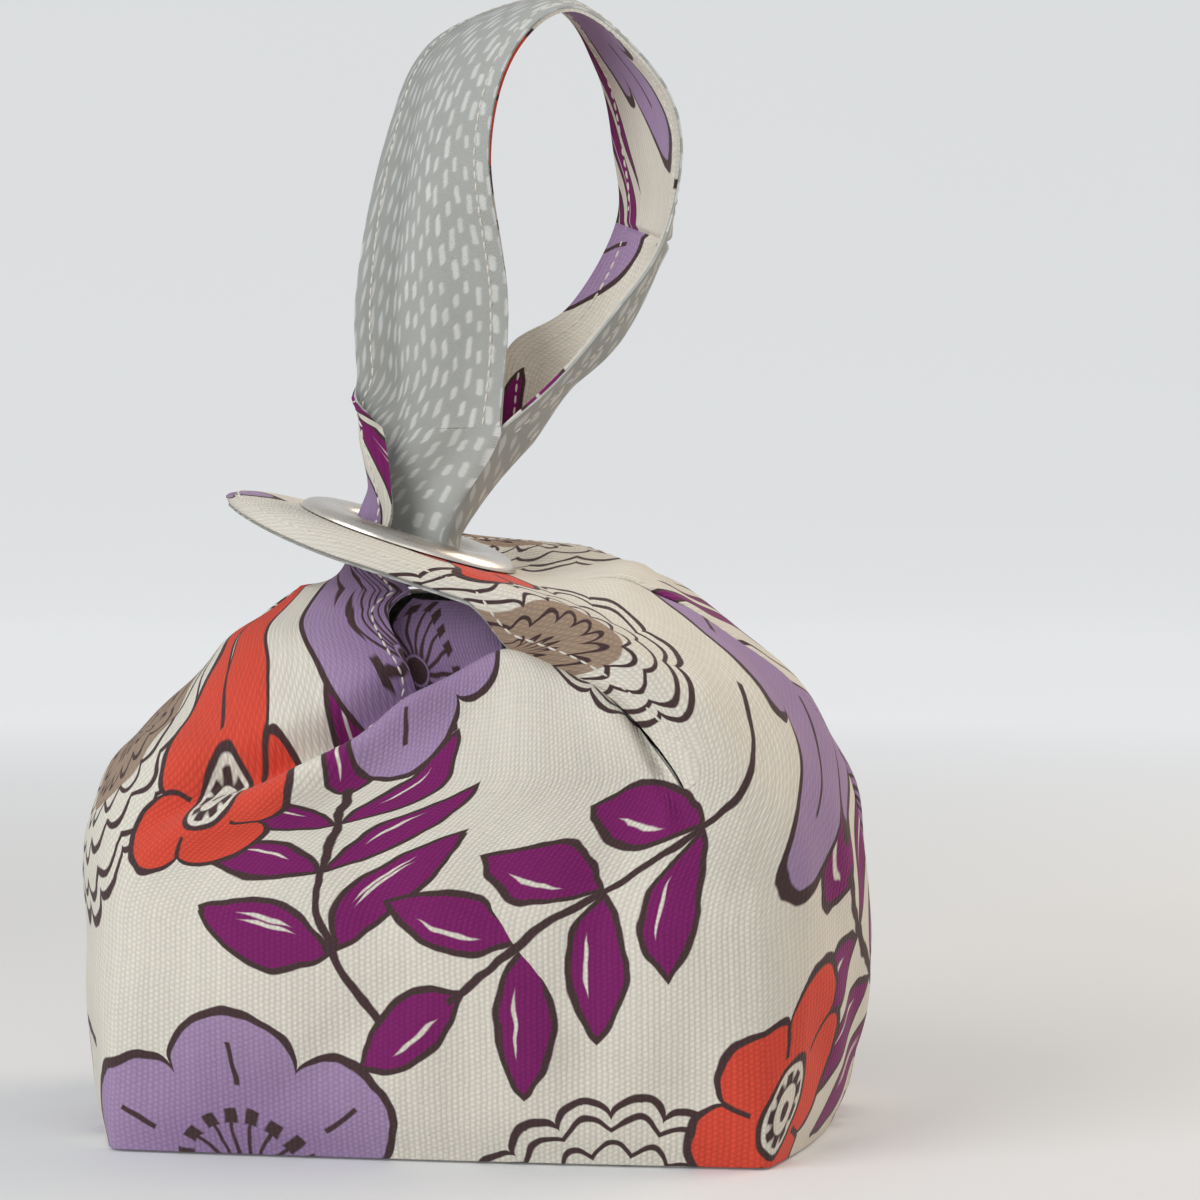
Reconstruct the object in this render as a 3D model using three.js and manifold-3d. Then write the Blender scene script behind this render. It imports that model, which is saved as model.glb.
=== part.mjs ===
// A fabric bento bag with a boxed base, closed by drawing its loop handle through a large grommet.
// Every cloth piece is a sheet with a printed canvas layer outside and a cotton lining layer inside.
// Millimetres, +Z up, +X towards the side that carries the flap, -Y towards the front.
// The origin is the middle of the base, on the surface that the bag stands on.
import * as THREE from 'three';
import { mergeVertices } from 'three/addons/utils/BufferGeometryUtils.js';
import Module from 'manifold-3d';

const wasm = await Module();
wasm.setup();

// Cloth layers.
const canvasThickness = 0.9;
const liningThickness = 0.7;
const interfacingThickness = 0.4;
const clothGap = 0.3;

// Base of the bag, corner to corner, and how far its edges swell outwards between the corners.
const baseWidth = 180;
const baseDepth = 122;
const baseSideSwell = 16;
const baseFaceSwell = 2;

// Belly, the widest level of the filled bag.
const bellyHeight = 50;
const bellyWidth = 182;
const bellyDepth = 124;
const bellySideSwell = 20;
const bellyFaceSwell = 8;

// Shoulder, where the walls start to lean inwards.
const shoulderHeight = 96;
const shoulderWidth = 172;
const shoulderDepth = 114;
const shoulderSideSwell = 21;
const shoulderFaceSwell = 7;
const shoulderFaceDrop = 6;

// Height of the grommet above the base. The mouth, the neck and the loop follow it.
const grommetHeight = 165;

// Slope above the shoulder. The right side stands wider than the left, and the back higher than the front.
const slopeBelowGrommet = 37;
const slopeFrontDrop = 9.5;
const slopeBackDrop = 3.5;
const slopeRightReach = 70;
const slopeLeftReach = 60;
const slopeRightDepth = 108;
const slopeLeftDepth = 84;
const slopeSideSwell = 21;
const slopeSideLift = 5;
const slopeFaceSwell = 7.5;
const slopeFaceDip = 5;

// Fold, where the wall turns in below the mouth, as depths below the grommet at each corner.
const foldReach = 58;
const foldLeftReach = 42;
const foldRightDepth = 100;
const foldLeftDepth = 60;
const foldBelowGrommet = { frontRight: 42, backRight: 21, left: 27 };
const foldRightSwell = 10;
const foldRightLift = 9;
const foldLeftSwell = 28;
const foldFaceLift = 2;

// Mouth: a wide flap root on the right, a narrow throat on the left, and edges tucked in under the flap.
const rootReach = 48;
const rootDepth = 92;
const rootBelowGrommet = 12;
const rootFrontFall = 20;
const rootBackFall = 2;
const throatReach = 20;
const throatDepth = 48;
const throatBelowGrommet = 13.5;
const throatSwell = 28;
const mouthFrontLift = 4;
const mouthBackDip = 10;
const mouthTuckIn = 6;

// Rounding of the upright corners, in quarter turns of the outline, at each level from the base up.
const cornerRounding = [0.015, 0.16, 0.2, 0.2, 0.14, 0];

// The long crease that runs round the front and back below the mouth: its depth below the grommet and
// how far it draws the cloth in, at places from left to right. The back crease is higher and shallower.
const creaseStations = [
  { at: -80, below: 73, draw: 0 }, { at: -52, below: 60, draw: 6 }, { at: -29, below: 50, draw: 11 },
  { at: -8, below: 37, draw: 12 }, { at: 15, below: 28, draw: 12 }, { at: 45, below: 37, draw: 9 },
  { at: 62, below: 57, draw: 4 }, { at: 80, below: 71, draw: 0 },
];
const creaseSpread = 9;
const crestShare = 0.5;
const backCreaseShare = 0.55;
const backCreaseLift = 6;
const mouthEdgeTuck = 2;

// Grommet, set in the flap. It tilts down towards the flap's root.
const grommetBore = 40;
const grommetOuter = 64;
const grommetTilt = 18;
const grommetReach = -19;
const capDome = 3.4;
const capLip = 1;
const barrelWall = 1.5;
const barrelCatch = 0.7;
const backRingThickness = 2.4;
const grommetSegments = 36;
const domeSteps = 6;

// Flap: the margin that stays flat round the grommet, its droop beyond, and its outline.
const flapFlatMargin = 5;
const flapDroop = 9;
const flapDroopReach = 12;
const flapBackRise = 13;
const flapHalfWidth = 45.5;
const flapTipReach = -67;
const flapTipHalfWidth = 7;
const flapSettle = 32;
const rootBend = 8;
const flapRootInset = 4;

// Gathered neck of the handle in the grommet, and the split where its two legs part.
const neckHalfWidth = 15.3;
const neckBelowGrommet = 7;
const splitAboveGrommet = 31.5;
const splitReach = -9;
const bendBelowSplit = 17;

// Handle loop above the split.
const strapWidth = 40;
const loopRise = 117.5;
const loopReach = 58;

// Section of the gathered neck in half widths, from the front edge round the hook to the back edge.
const gatherSection = [
  [-0.4, -0.7], [-0.95, -0.42], [-0.78, 0.16], [0, 0.12],
  [0.78, -0.28], [1, 0.2], [0.74, 0.56], [0.36, 0.72], [0, 0.76],
];

// Stations along the loop, from the front leg over the top to the back leg. Along and up are shares
// of the loop's reach and rise, and turn is the strap's heading in degrees. The others are shares of
// the strap's width: its depth, its lean, the spread that shows, and how far its middle is cupped.
const loopStations = [
  { along: 0, depth: -0.125, up: 0, turn: 9, tip: 0.025, spread: 0.91, cup: -0.025 },
  { along: -0.03, depth: -0.05, up: 0.31, turn: 11, tip: 0, spread: 1, cup: 0.075 },
  { along: 0, depth: 0.025, up: 0.67, turn: 43, tip: -0.125, spread: 0.98, cup: 0.075 },
  { along: 0.24, depth: 0.025, up: 0.91, turn: 60, tip: -0.175, spread: 0.98, cup: 0.05 },
  { along: 0.6, depth: 0, up: 1, turn: 72, tip: -0.15, spread: 0.95, cup: 0.05 },
  { along: 0.89, depth: -0.025, up: 0.85, turn: 59, tip: -0.1, spread: 0.95, cup: 0.05 },
  { along: 1, depth: -0.05, up: 0.67, turn: 55, tip: 0, spread: 0.96, cup: 0.075 },
  { along: 0.97, depth: -0.075, up: 0.47, turn: 60, tip: -0.05, spread: 0.82, cup: 0.125 },
  { along: 0.74, depth: -0.075, up: 0.29, turn: 58, tip: 0, spread: 0.7, cup: 0.2 },
  { along: 0.5, depth: 0, up: 0.13, turn: 60, tip: -0.05, spread: 0.58, cup: 0.225 },
  { along: 0.33, depth: 0.075, up: 0, turn: 66, tip: 0.025, spread: 0.44, cup: 0.175 },
];
const seamStation = 7;

// Facets.
const wallColumns = 24;
const wallRows = 13;
const flapRows = 16;
const flapColumns = 12;
const neckColumns = 30;
const tongueRows = 10;
const neckRows = 3;
const strapColumns = 4;
const strapRowsPerStation = 3;

// Materials.
const canvas = new THREE.MeshStandardMaterial({ color: 0xefe8d6, roughness: 0.9, metalness: 0 });
const lining = new THREE.MeshStandardMaterial({ color: 0xb9bab6, roughness: 0.9, metalness: 0 });
const fusible = new THREE.MeshStandardMaterial({ color: 0xf4f2ec, roughness: 0.95, metalness: 0 });
const nickel = new THREE.MeshStandardMaterial({ color: 0xcfcdc8, roughness: 0.25, metalness: 1 });

const { lerp, smoothstep, degToRad } = THREE.MathUtils;
const vector = (x, y, z) => new THREE.Vector3(x, y, z);

// Heights that follow the grommet.
const slopeHeight = grommetHeight - slopeBelowGrommet;
const foldHeight = (place) => grommetHeight - foldBelowGrommet[place];
const rootCrown = grommetHeight - rootBelowGrommet;
const throatHeight = grommetHeight - throatBelowGrommet;
const splitHeight = grommetHeight + splitAboveGrommet;

// A closed mesh and a cutting solid, each made from the other.
function solidFrom(geometry) {
  const bare = geometry.clone();
  bare.deleteAttribute('normal');
  bare.deleteAttribute('uv');
  const merged = mergeVertices(bare, 1e-4);
  return new wasm.Manifold(new wasm.Mesh({
    numProp: 3,
    vertProperties: merged.attributes.position.array,
    triVerts: new Uint32Array(merged.index.array),
  }));
}

function geometryFrom(solid) {
  const { vertProperties, triVerts } = solid.getMesh();
  return new THREE.BufferGeometry()
    .setAttribute('position', new THREE.BufferAttribute(vertProperties, 3))
    .setIndex(new THREE.BufferAttribute(triVerts, 1));
}

// Levels of the wall. A level has four corners, in the order back right, front right, front left and
// back left, and four edges that swell between them.
function evenLevel(height, width, depth, sideSwell, faceSwell, faceDrop, rounding) {
  const corner = (right, back) => vector((right * width) / 2, (back * depth) / 2, height - faceDrop / 2);
  return {
    corners: [corner(1, 1), corner(1, -1), corner(-1, -1), corner(-1, 1)],
    swells: [
      vector(sideSwell, 0, faceDrop / 2), vector(0, -faceSwell, -faceDrop / 2),
      vector(-sideSwell, 0, faceDrop / 2), vector(0, faceSwell, -faceDrop / 2),
    ],
    rounding,
  };
}

const levels = [
  evenLevel(0, baseWidth, baseDepth, baseSideSwell, baseFaceSwell, 0, cornerRounding[0]),
  evenLevel(bellyHeight, bellyWidth, bellyDepth, bellySideSwell, bellyFaceSwell, 0, cornerRounding[1]),
  evenLevel(
    shoulderHeight, shoulderWidth, shoulderDepth, shoulderSideSwell, shoulderFaceSwell,
    shoulderFaceDrop, cornerRounding[2],
  ),
  {
    corners: [
      vector(slopeRightReach, slopeRightDepth / 2, slopeHeight - slopeBackDrop),
      vector(slopeRightReach, -slopeRightDepth / 2, slopeHeight - slopeFrontDrop),
      vector(-slopeLeftReach, -slopeLeftDepth / 2, slopeHeight - slopeFrontDrop),
      vector(-slopeLeftReach, slopeLeftDepth / 2, slopeHeight - slopeBackDrop),
    ],
    swells: [
      vector(slopeSideSwell, 0, slopeSideLift), vector(0, -slopeFaceSwell, -slopeFaceDip),
      vector(-slopeSideSwell, 0, slopeSideLift), vector(0, slopeFaceSwell, -slopeFaceDip),
    ],
    rounding: cornerRounding[3],
  },
  {
    corners: [
      vector(foldReach, foldRightDepth / 2, foldHeight('backRight')),
      vector(foldReach, -foldRightDepth / 2, foldHeight('frontRight')),
      vector(-foldLeftReach, -foldLeftDepth / 2, foldHeight('left')),
      vector(-foldLeftReach, foldLeftDepth / 2, foldHeight('left')),
    ],
    swells: [
      vector(foldRightSwell, 0, foldRightLift), vector(0, 0, foldFaceLift),
      vector(-foldLeftSwell, 0, 0), vector(0, 0, foldFaceLift),
    ],
    rounding: cornerRounding[4],
  },
  {
    corners: [
      vector(rootReach, rootDepth / 2, rootCrown - rootBackFall),
      vector(rootReach, -rootDepth / 2, rootCrown - rootFrontFall),
      vector(-throatReach, -throatDepth / 2, throatHeight),
      vector(-throatReach, throatDepth / 2, throatHeight),
    ],
    swells: [
      vector(0, 0, (rootFrontFall + rootBackFall) / 2), vector(0, mouthTuckIn, mouthFrontLift),
      vector(-throatSwell, 0, 0), vector(0, -mouthTuckIn, -mouthBackDip),
    ],
    rounding: cornerRounding[5],
  },
];

// A point of a level's outline. Turn 0 is the middle of the right side, 1 of the front, 2 of the left.
function outlinePoint({ corners, swells }, turn) {
  const along = (turn + 4.5) % 4;
  const side = Math.floor(along);
  const share = along - side;
  return corners[side].clone().lerp(corners[(side + 1) % 4], share)
    .addScaledVector(swells[side], 4 * share * (1 - share));
}

function levelPoint(ring, turn) {
  const blur = ring.rounding;
  return outlinePoint(ring, turn).multiplyScalar(2)
    .add(outlinePoint(ring, turn - blur))
    .add(outlinePoint(ring, turn + blur))
    .multiplyScalar(0.25);
}

// The crease at one place between left and right.
function creaseAt(x) {
  const next = creaseStations.findIndex(({ at }) => at > x);
  if (next <= 0) return { below: creaseStations.at(next).below, draw: 0 };
  const [left, right] = [creaseStations[next - 1], creaseStations[next]];
  const share = smoothstep(x, left.at, right.at);
  return { below: lerp(left.below, right.below, share), draw: lerp(left.draw, right.draw, share) };
}

// How far the crease, the crest below it and the tucked edge above it push the wall out.
function creasePush({ x, y, z }, turn) {
  const { below, draw } = creaseAt(x);
  const behind = smoothstep(y, 5, 22);
  const above = z - (grommetHeight - below) - backCreaseLift * behind;
  const near = (distance) => Math.exp(-((distance / creaseSpread) ** 2));
  const fromSide = Math.min(turn, 4 - turn);
  const underFlap = smoothstep(1.5 - fromSide, 0, 0.3) * smoothstep(fromSide - 0.55, 0, 0.3);
  const tuck = mouthEdgeTuck * smoothstep(above, 0, 12) * underFlap;
  const push = draw * (crestShare * near(above + 1.5 * creaseSpread) - near(above)) - tuck;
  return push * (smoothstep(-y, 5, 22) + backCreaseShare * behind);
}

// The canvas face of the wall. Rise runs from 0 at the base edge to 1 at the mouth.
function wallPoint(turn, rise) {
  const point = new THREE.CatmullRomCurve3(levels.map((ring) => levelPoint(ring, turn))).getPoint(rise);
  point.y += Math.sign(point.y) * creasePush(point, turn % 4);
  return point;
}

// A grid of points, row by row, from a function of two shares.
function grid(rows, columns, pointAt) {
  return Array.from({ length: rows + 1 }, (_, row) => Array.from(
    { length: columns + 1 },
    (__, column) => pointAt(column / columns, row / rows),
  ));
}

// The direction from the canvas face to the lining face at a point of a surface.
function liningDirection(surface, across, up) {
  const near = (share) => Math.max(0, share - 0.004);
  const far = (share) => Math.min(1, share + 0.004);
  const sideways = surface(far(across), up).sub(surface(near(across), up));
  const upwards = surface(across, far(up)).sub(surface(across, near(up)));
  return sideways.cross(upwards).normalize();
}

// A surface point moved from the canvas face towards the lining face.
function layerPoint(surface, across, up, depth) {
  return surface(across, up).addScaledVector(liningDirection(surface, across, up), depth);
}

// Two grids of points, one for each face of a cloth layer, closed into a sheet.
function closedSheet(canvasSide, liningSide) {
  const columns = canvasSide[0].length;
  const count = canvasSide.length * columns;
  const triangles = [];
  const quad = (a, b, c, d) => triangles.push(a, b, c, a, c, d);
  const at = (row, column) => row * columns + column;
  for (let row = 0; row + 1 < canvasSide.length; row += 1) {
    for (let column = 0; column + 1 < columns; column += 1) {
      const [a, b] = [at(row, column), at(row, column + 1)];
      const [c, d] = [at(row + 1, column + 1), at(row + 1, column)];
      quad(a + count, b + count, c + count, d + count);
      triangles.push(a, c, b, a, d, c);
    }
  }
  const rim = [];
  for (let column = 0; column + 1 < columns; column += 1) rim.push(at(0, column));
  for (let row = 0; row + 1 < canvasSide.length; row += 1) rim.push(at(row, columns - 1));
  for (let column = columns - 1; column > 0; column -= 1) rim.push(at(canvasSide.length - 1, column));
  for (let row = canvasSide.length - 1; row > 0; row -= 1) rim.push(at(row, 0));
  rim.forEach((p, index) => {
    const q = rim[(index + 1) % rim.length];
    quad(q + count, p + count, p, q);
  });
  const points = [...canvasSide, ...liningSide].flat();
  return new THREE.BufferGeometry().setFromPoints(points).setIndex(triangles);
}

// One cloth layer of a surface between two depths, over a stretch of its length.
function layerSheet(surface, [from, to], { rows, columns, start = 0, end = 1, settle = (p) => p }) {
  const side = (depth) => grid(
    rows,
    columns,
    (across, up) => settle(layerPoint(surface, across, lerp(start, end, up), depth)),
  );
  return closedSheet(side(from), side(to));
}

// Depths of the two cloth layers below the canvas face.
const canvasLayer = [0, canvasThickness];
const liningLayer = [canvasThickness + clothGap, canvasThickness + clothGap + liningThickness];

// Half of the tub: one wall panel folded under to the seam along the middle of the base. The rows of
// points stand closer together towards the mouth.
const halfWall = (firstTurn) => (across, up) => wallPoint(firstTurn + 2 * across, up ** 0.8);

function panelGeometry(layer, firstTurn) {
  const [from, to] = layer;
  const surface = halfWall(firstTurn);
  const side = firstTurn === 0 ? -1 : 1;
  const settle = ({ x, y, z }) => vector(x, side * Math.max(side * y, clothGap / 2), Math.max(z, from));
  const wall = layerSheet(surface, layer, { rows: wallRows, columns: wallColumns, settle });
  const edge = grid(1, wallColumns, (across) => settle(layerPoint(surface, across, 0, from)))[0];
  const outline = new THREE.Shape(edge.map(({ x, y }) => new THREE.Vector2(x, y)));
  const floor = new THREE.ExtrudeGeometry(outline, { depth: to - from, bevelEnabled: false })
    .translate(0, 0, from);
  return geometryFrom(solidFrom(wall).add(solidFrom(floor)));
}

// The grommet's own frame: its axis is +Y there, and its origin is on the flap's canvas face.
const grommetFrame = new THREE.Group();
grommetFrame.position.set(grommetReach, 0, grommetHeight);
grommetFrame.quaternion.setFromUnitVectors(
  vector(0, 1, 0),
  vector(Math.sin(degToRad(grommetTilt)), 0, Math.cos(degToRad(grommetTilt))),
);
grommetFrame.updateMatrix();

// The flap's canvas face, flat round the grommet, drooping at its free edge and lifted along its back.
const flapFlatRadius = grommetOuter / 2 + flapFlatMargin;

function freeHeight(x, y) {
  const fall = Math.tan(degToRad(grommetTilt)) * (x - grommetReach);
  const away = Math.hypot(x - grommetReach, y, fall);
  const beyond = smoothstep(away, flapFlatRadius, flapFlatRadius + flapDroopReach);
  const behind = smoothstep(y, 0, flapHalfWidth) * smoothstep(x, grommetReach - flapHalfWidth, rootReach);
  const droop = flapDroop * (1 - smoothstep(x, grommetReach, rootReach - flapSettle)) * (1 - behind);
  return grommetHeight - fall - beyond * (droop - flapBackRise * behind);
}

// The wall arrives at the root sloping upwards, and the flap bends over from that slope.
function rootSlope(turn) {
  const top = wallPoint(turn, 1);
  const below = wallPoint(turn, 0.99);
  return (top.z - below.z) / (below.x - top.x);
}

function flapHalfWidthAt(x) {
  const tip = Math.max(0, (grommetReach - x) / (grommetReach - flapTipReach));
  const round = lerp(flapTipHalfWidth, flapHalfWidth, Math.sqrt(Math.max(0, 1 - tip ** 2.2)));
  return lerp(round, rootDepth / 2 - flapRootInset, smoothstep(x, grommetReach, rootReach));
}

function flapPoint(across, along) {
  const x = lerp(rootReach, flapTipReach, along);
  const y = flapHalfWidthAt(x) * (1 - 2 * across);
  const turn = 4 - (1 - 2 * across) * (0.5 - flapRootInset / rootDepth);
  const bend = rootSlope(turn) * (rootReach - x) * Math.exp((x - rootReach) / rootBend);
  const settled = smoothstep(x, rootReach - flapSettle, rootReach);
  return vector(x, y, lerp(freeHeight(x, y), wallPoint(turn, 1).z + bend, settled));
}

const barrelRadius = grommetBore / 2 + barrelWall;
const clothHole = barrelRadius + clothGap;
const flapInterfacing = [canvasThickness + clothGap, canvasThickness + clothGap + interfacingThickness];
const flapLining = [flapInterfacing[1] + clothGap, flapInterfacing[1] + clothGap + liningThickness];

// A round cutter along the grommet's axis.
function grommetCutter(radius) {
  return solidFrom(new THREE.CylinderGeometry(radius, radius, grommetOuter, grommetSegments)
    .applyMatrix4(grommetFrame.matrix));
}

function flapGeometry(layer) {
  const start = clothGap / (rootReach - flapTipReach);
  const sheet = layerSheet(flapPoint, layer, { rows: flapRows, columns: flapColumns, start });
  return geometryFrom(solidFrom(sheet).subtract(grommetCutter(clothHole)));
}

// A ring turned about the grommet's axis from an outline of radius and height.
function turned(outline) {
  const profile = [...outline, outline[0]].map(([radius, height]) => new THREE.Vector2(radius, height));
  return new THREE.LatheGeometry(profile, grommetSegments);
}

function interfacingGeometry() {
  const [from, to] = flapInterfacing;
  const outer = grommetOuter / 2;
  return turned([[clothHole, -to], [outer, -to], [outer, -from], [clothHole, -from]]);
}

// The cap shows on the flap: a domed flange and a barrel whose catch holds the back ring.
const backRingTop = -flapLining[1] - clothGap;
const backRingFoot = backRingTop - backRingThickness;

function capGeometry() {
  const bore = grommetBore / 2;
  const rim = grommetOuter / 2;
  const catchTop = backRingFoot - clothGap;
  const middle = (bore + rim) / 2;
  const dome = Array.from({ length: domeSteps - 1 }, (_, step) => {
    const angle = (Math.PI * (step + 1)) / domeSteps;
    const radius = middle + ((rim - bore) / 2) * Math.cos(angle);
    return [radius, clothGap + capLip + (capDome - capLip) * Math.sin(angle)];
  });
  return turned([
    [bore, catchTop - barrelCatch], [barrelRadius, catchTop - barrelCatch],
    [barrelRadius + barrelCatch, catchTop], [barrelRadius, catchTop],
    [barrelRadius, clothGap], [rim, clothGap], [rim, clothGap + capLip],
    ...dome, [bore, clothGap + capLip],
  ]);
}

function backRingGeometry() {
  const bore = barrelRadius + clothGap;
  const rim = grommetOuter / 2;
  const chamfer = backRingThickness / 2;
  return turned([
    [bore, backRingFoot], [rim - chamfer, backRingFoot], [rim, backRingFoot + chamfer],
    [rim, backRingTop], [bore, backRingTop],
  ]);
}

// The handle loop: a strap whose back and front edges follow the stations.
const splitPoint = vector(splitReach, 0, splitHeight);
const stationEdges = loopStations.map(({ along, depth, up, turn, tip, spread }) => {
  const middle = splitPoint.clone().add(vector(along * loopReach, depth * strapWidth, up * loopRise));
  const reach = vector(Math.cos(degToRad(turn)), -Math.sin(degToRad(turn)), tip)
    .multiplyScalar((strapWidth * spread) / 2);
  return { back: middle.clone().sub(reach), front: middle.clone().add(reach) };
});
const backEdge = new THREE.CatmullRomCurve3(stationEdges.map(({ back }) => back));
const frontEdge = new THREE.CatmullRomCurve3(stationEdges.map(({ front }) => front));
const cupCurve = new THREE.CatmullRomCurve3(loopStations.map(({ cup }, index) => vector(cup, index, 0)));

// A point of the strap. Across runs from the back edge to the front edge, along over the whole loop.
function strapPoint(across, along) {
  const back = backEdge.getPoint(along);
  const front = frontEdge.getPoint(along);
  const heading = backEdge.getTangent(along).add(frontEdge.getTangent(along));
  const outwards = front.clone().sub(back).cross(heading).normalize();
  const cup = strapWidth * cupCurve.getPoint(along).x * 4 * across * (1 - across);
  return back.lerp(front, across).addScaledVector(outwards, cup);
}

function strapGeometry(layer, firstStation, lastStation) {
  const last = loopStations.length - 1;
  const gap = clothGap / 2 / backEdge.getLength();
  const start = firstStation === 0 ? 0 : firstStation / last + gap;
  const end = lastStation === last ? 1 : lastStation / last - gap;
  const rows = (lastStation - firstStation) * strapRowsPerStation;
  return layerSheet(strapPoint, layer, { rows, columns: strapColumns, start, end });
}

// The tongue: the left side of the bag, gathered into the throat, the grommet and the split.
const gatherCurve = new THREE.CatmullRomCurve3(
  gatherSection.map(([right, back]) => vector(right * neckHalfWidth, back * neckHalfWidth, 0)),
);

function gatherPoint(across, lift) {
  const { x, y } = gatherCurve.getPoint(across);
  return vector(x, lift, -y).applyMatrix4(grommetFrame.matrix);
}

function splitRowPoint(across, beyond) {
  return across <= 0.5 ? strapPoint(2 * across, beyond) : strapPoint(2 - 2 * across, 1 - beyond);
}

// The tongue runs on from the wall and into the straps, so its path starts and ends beyond itself.
const tongueSpans = 5;

function tonguePath(across) {
  const beyond = 0.04;
  return new THREE.CatmullRomCurve3([
    wallPoint(1.5 + across, 1 - 2 * beyond),
    wallPoint(1.5 + across, 1),
    gatherPoint(across, -neckBelowGrommet),
    gatherPoint(across, neckBelowGrommet),
    splitRowPoint(across, 0),
    splitRowPoint(across, beyond),
  ]);
}

const tonguePoint = (across, rise) => tonguePath(across).getPoint(rise);
const tongueStart = 1 / tongueSpans;
const tongueEnd = 4 / tongueSpans;

// The neck bends between this share of the path and the split.
const neckRise = splitHeight - grommetHeight - neckBelowGrommet;
const bendStart = tongueEnd - bendBelowSplit / neckRise / tongueSpans;
const gapShare = clothGap / neckRise / tongueSpans;

function tongueGeometry(layer) {
  const [start, end] = [tongueStart + 9 * gapShare, bendStart - 3 * gapShare];
  return layerSheet(tonguePoint, layer, { rows: tongueRows, columns: neckColumns, start, end });
}

function neckGeometry(layer) {
  const [start, end] = [bendStart, tongueEnd - 3 * gapShare];
  return layerSheet(tonguePoint, layer, { rows: neckRows, columns: neckColumns, start, end });
}

// Assembly.
const bag = new THREE.Group();
const add = (parent, name, geometry, material) => {
  const mesh = new THREE.Mesh(geometry, material);
  mesh.name = name;
  parent.add(mesh);
  return mesh;
};

for (const [cloth, layer, material] of [['outer', canvasLayer, canvas], ['lining', liningLayer, lining]]) {
  add(bag, `${cloth}_front_panel`, panelGeometry(layer, 0), material);
  add(bag, `${cloth}_back_panel`, panelGeometry(layer, 2), material);
  add(bag, `${cloth}_tongue`, tongueGeometry(layer), material);
  add(bag, `${cloth}_neck`, neckGeometry(layer), material);
  add(bag, `${cloth}_front_strap`, strapGeometry(layer, 0, seamStation), material);
  add(bag, `${cloth}_back_strap`, strapGeometry(layer, seamStation, loopStations.length - 1), material);
}
add(bag, 'outer_flap', flapGeometry(canvasLayer), canvas);
add(bag, 'lining_flap', flapGeometry(flapLining), lining);

bag.add(grommetFrame);
add(grommetFrame, 'flap_interfacing', interfacingGeometry(), fusible);
add(grommetFrame, 'grommet_cap', capGeometry(), nickel);
add(grommetFrame, 'grommet_back_ring', backRingGeometry(), nickel);

export default bag;
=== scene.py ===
import math

import bpy
import numpy as np
from mathutils import Matrix, Vector


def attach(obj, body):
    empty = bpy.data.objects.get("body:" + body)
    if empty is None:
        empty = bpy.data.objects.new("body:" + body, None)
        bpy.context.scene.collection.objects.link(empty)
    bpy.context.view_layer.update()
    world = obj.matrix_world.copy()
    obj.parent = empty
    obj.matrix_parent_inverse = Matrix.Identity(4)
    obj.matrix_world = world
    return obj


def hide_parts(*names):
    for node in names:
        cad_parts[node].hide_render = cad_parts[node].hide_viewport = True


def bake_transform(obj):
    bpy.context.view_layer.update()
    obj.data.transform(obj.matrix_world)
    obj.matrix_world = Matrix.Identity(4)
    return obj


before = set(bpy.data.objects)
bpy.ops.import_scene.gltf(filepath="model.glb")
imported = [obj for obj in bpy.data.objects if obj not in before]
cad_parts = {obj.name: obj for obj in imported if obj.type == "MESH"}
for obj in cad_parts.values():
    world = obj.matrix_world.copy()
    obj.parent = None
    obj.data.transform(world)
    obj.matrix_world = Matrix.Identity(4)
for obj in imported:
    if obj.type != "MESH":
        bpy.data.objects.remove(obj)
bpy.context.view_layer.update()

bpy.ops.object.select_all(action="DESELECT")

# One millimetre, in metres. Shapes are worked out in millimetres.
MM = 0.001

# Cloth layers, as depths below the printed face.
CANVAS = (0.0, 0.9)
LINING = (1.0, 1.6)
FLAP_LINING = (1.5, 2.1)

# The grommet: place of its centre on the flap, slope of the flap there, and its outer radius.
GROMMET = np.array([-19.0, 0.0, 165.0])
TILT = math.tan(math.radians(18))
RIM = 32.0

# Levels of the bag's wall, from the base to the mouth. Each has four corners in the order back
# right, front right, front left, back left, the swell of the right, front, left and back edge
# between them, and the rounding of its corners in quarter turns.
LEVELS = [
    ([(97, 61, 0), (90, -61, 0), (-90, -61, 0), (-93, 61, 0)],
     [(8, 0, 0), (0, -2, 0), (-12, 0, 0), (0, 2, 0)], 0.03),
    ([(96, 62, 15), (91, -62, 15), (-91, -62, 15), (-92, 62, 15)],
     [(14, 0, 0), (0, -5, 0), (-16, 0, 0), (0, 5, 0)], 0.08),
    ([(93, 62, 50), (91, -62, 50), (-91, -62, 50), (-91, 62, 50)],
     [(21, 0, 0), (0, -8, 0), (-20, 0, 0), (0, 8, 0)], 0.2),
    ([(86, 57, 95), (86, -58, 92), (-87, -56, 92), (-87, 56, 94)],
     [(23, 0, 3), (0, -8, -3), (-22, 0, 2), (0, 7, -1)], 0.26),
    ([(70, 54, 127), (70, -54, 119), (-60, -42, 118), (-60, 42, 122)],
     [(20, 0, 3), (0, -8, -5), (-21, 0, 6), (0, 7, -5)], 0.26),
    ([(57, 50, 146), (59, -50, 127), (-42, -30, 138), (-42, 30, 139)],
     [(9, 0, 7), (0, 1, 2), (-28, 0, -1), (0, -2, 4)], 0.14),
    ([(48, 46, 155), (48, -46, 131), (-16, -24, 151), (-24, 22, 152)],
     [(-1, 0, 10), (0, 8, 8), (-30, 0, 0), (0, -1, 0)], 0.0),
]

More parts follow.
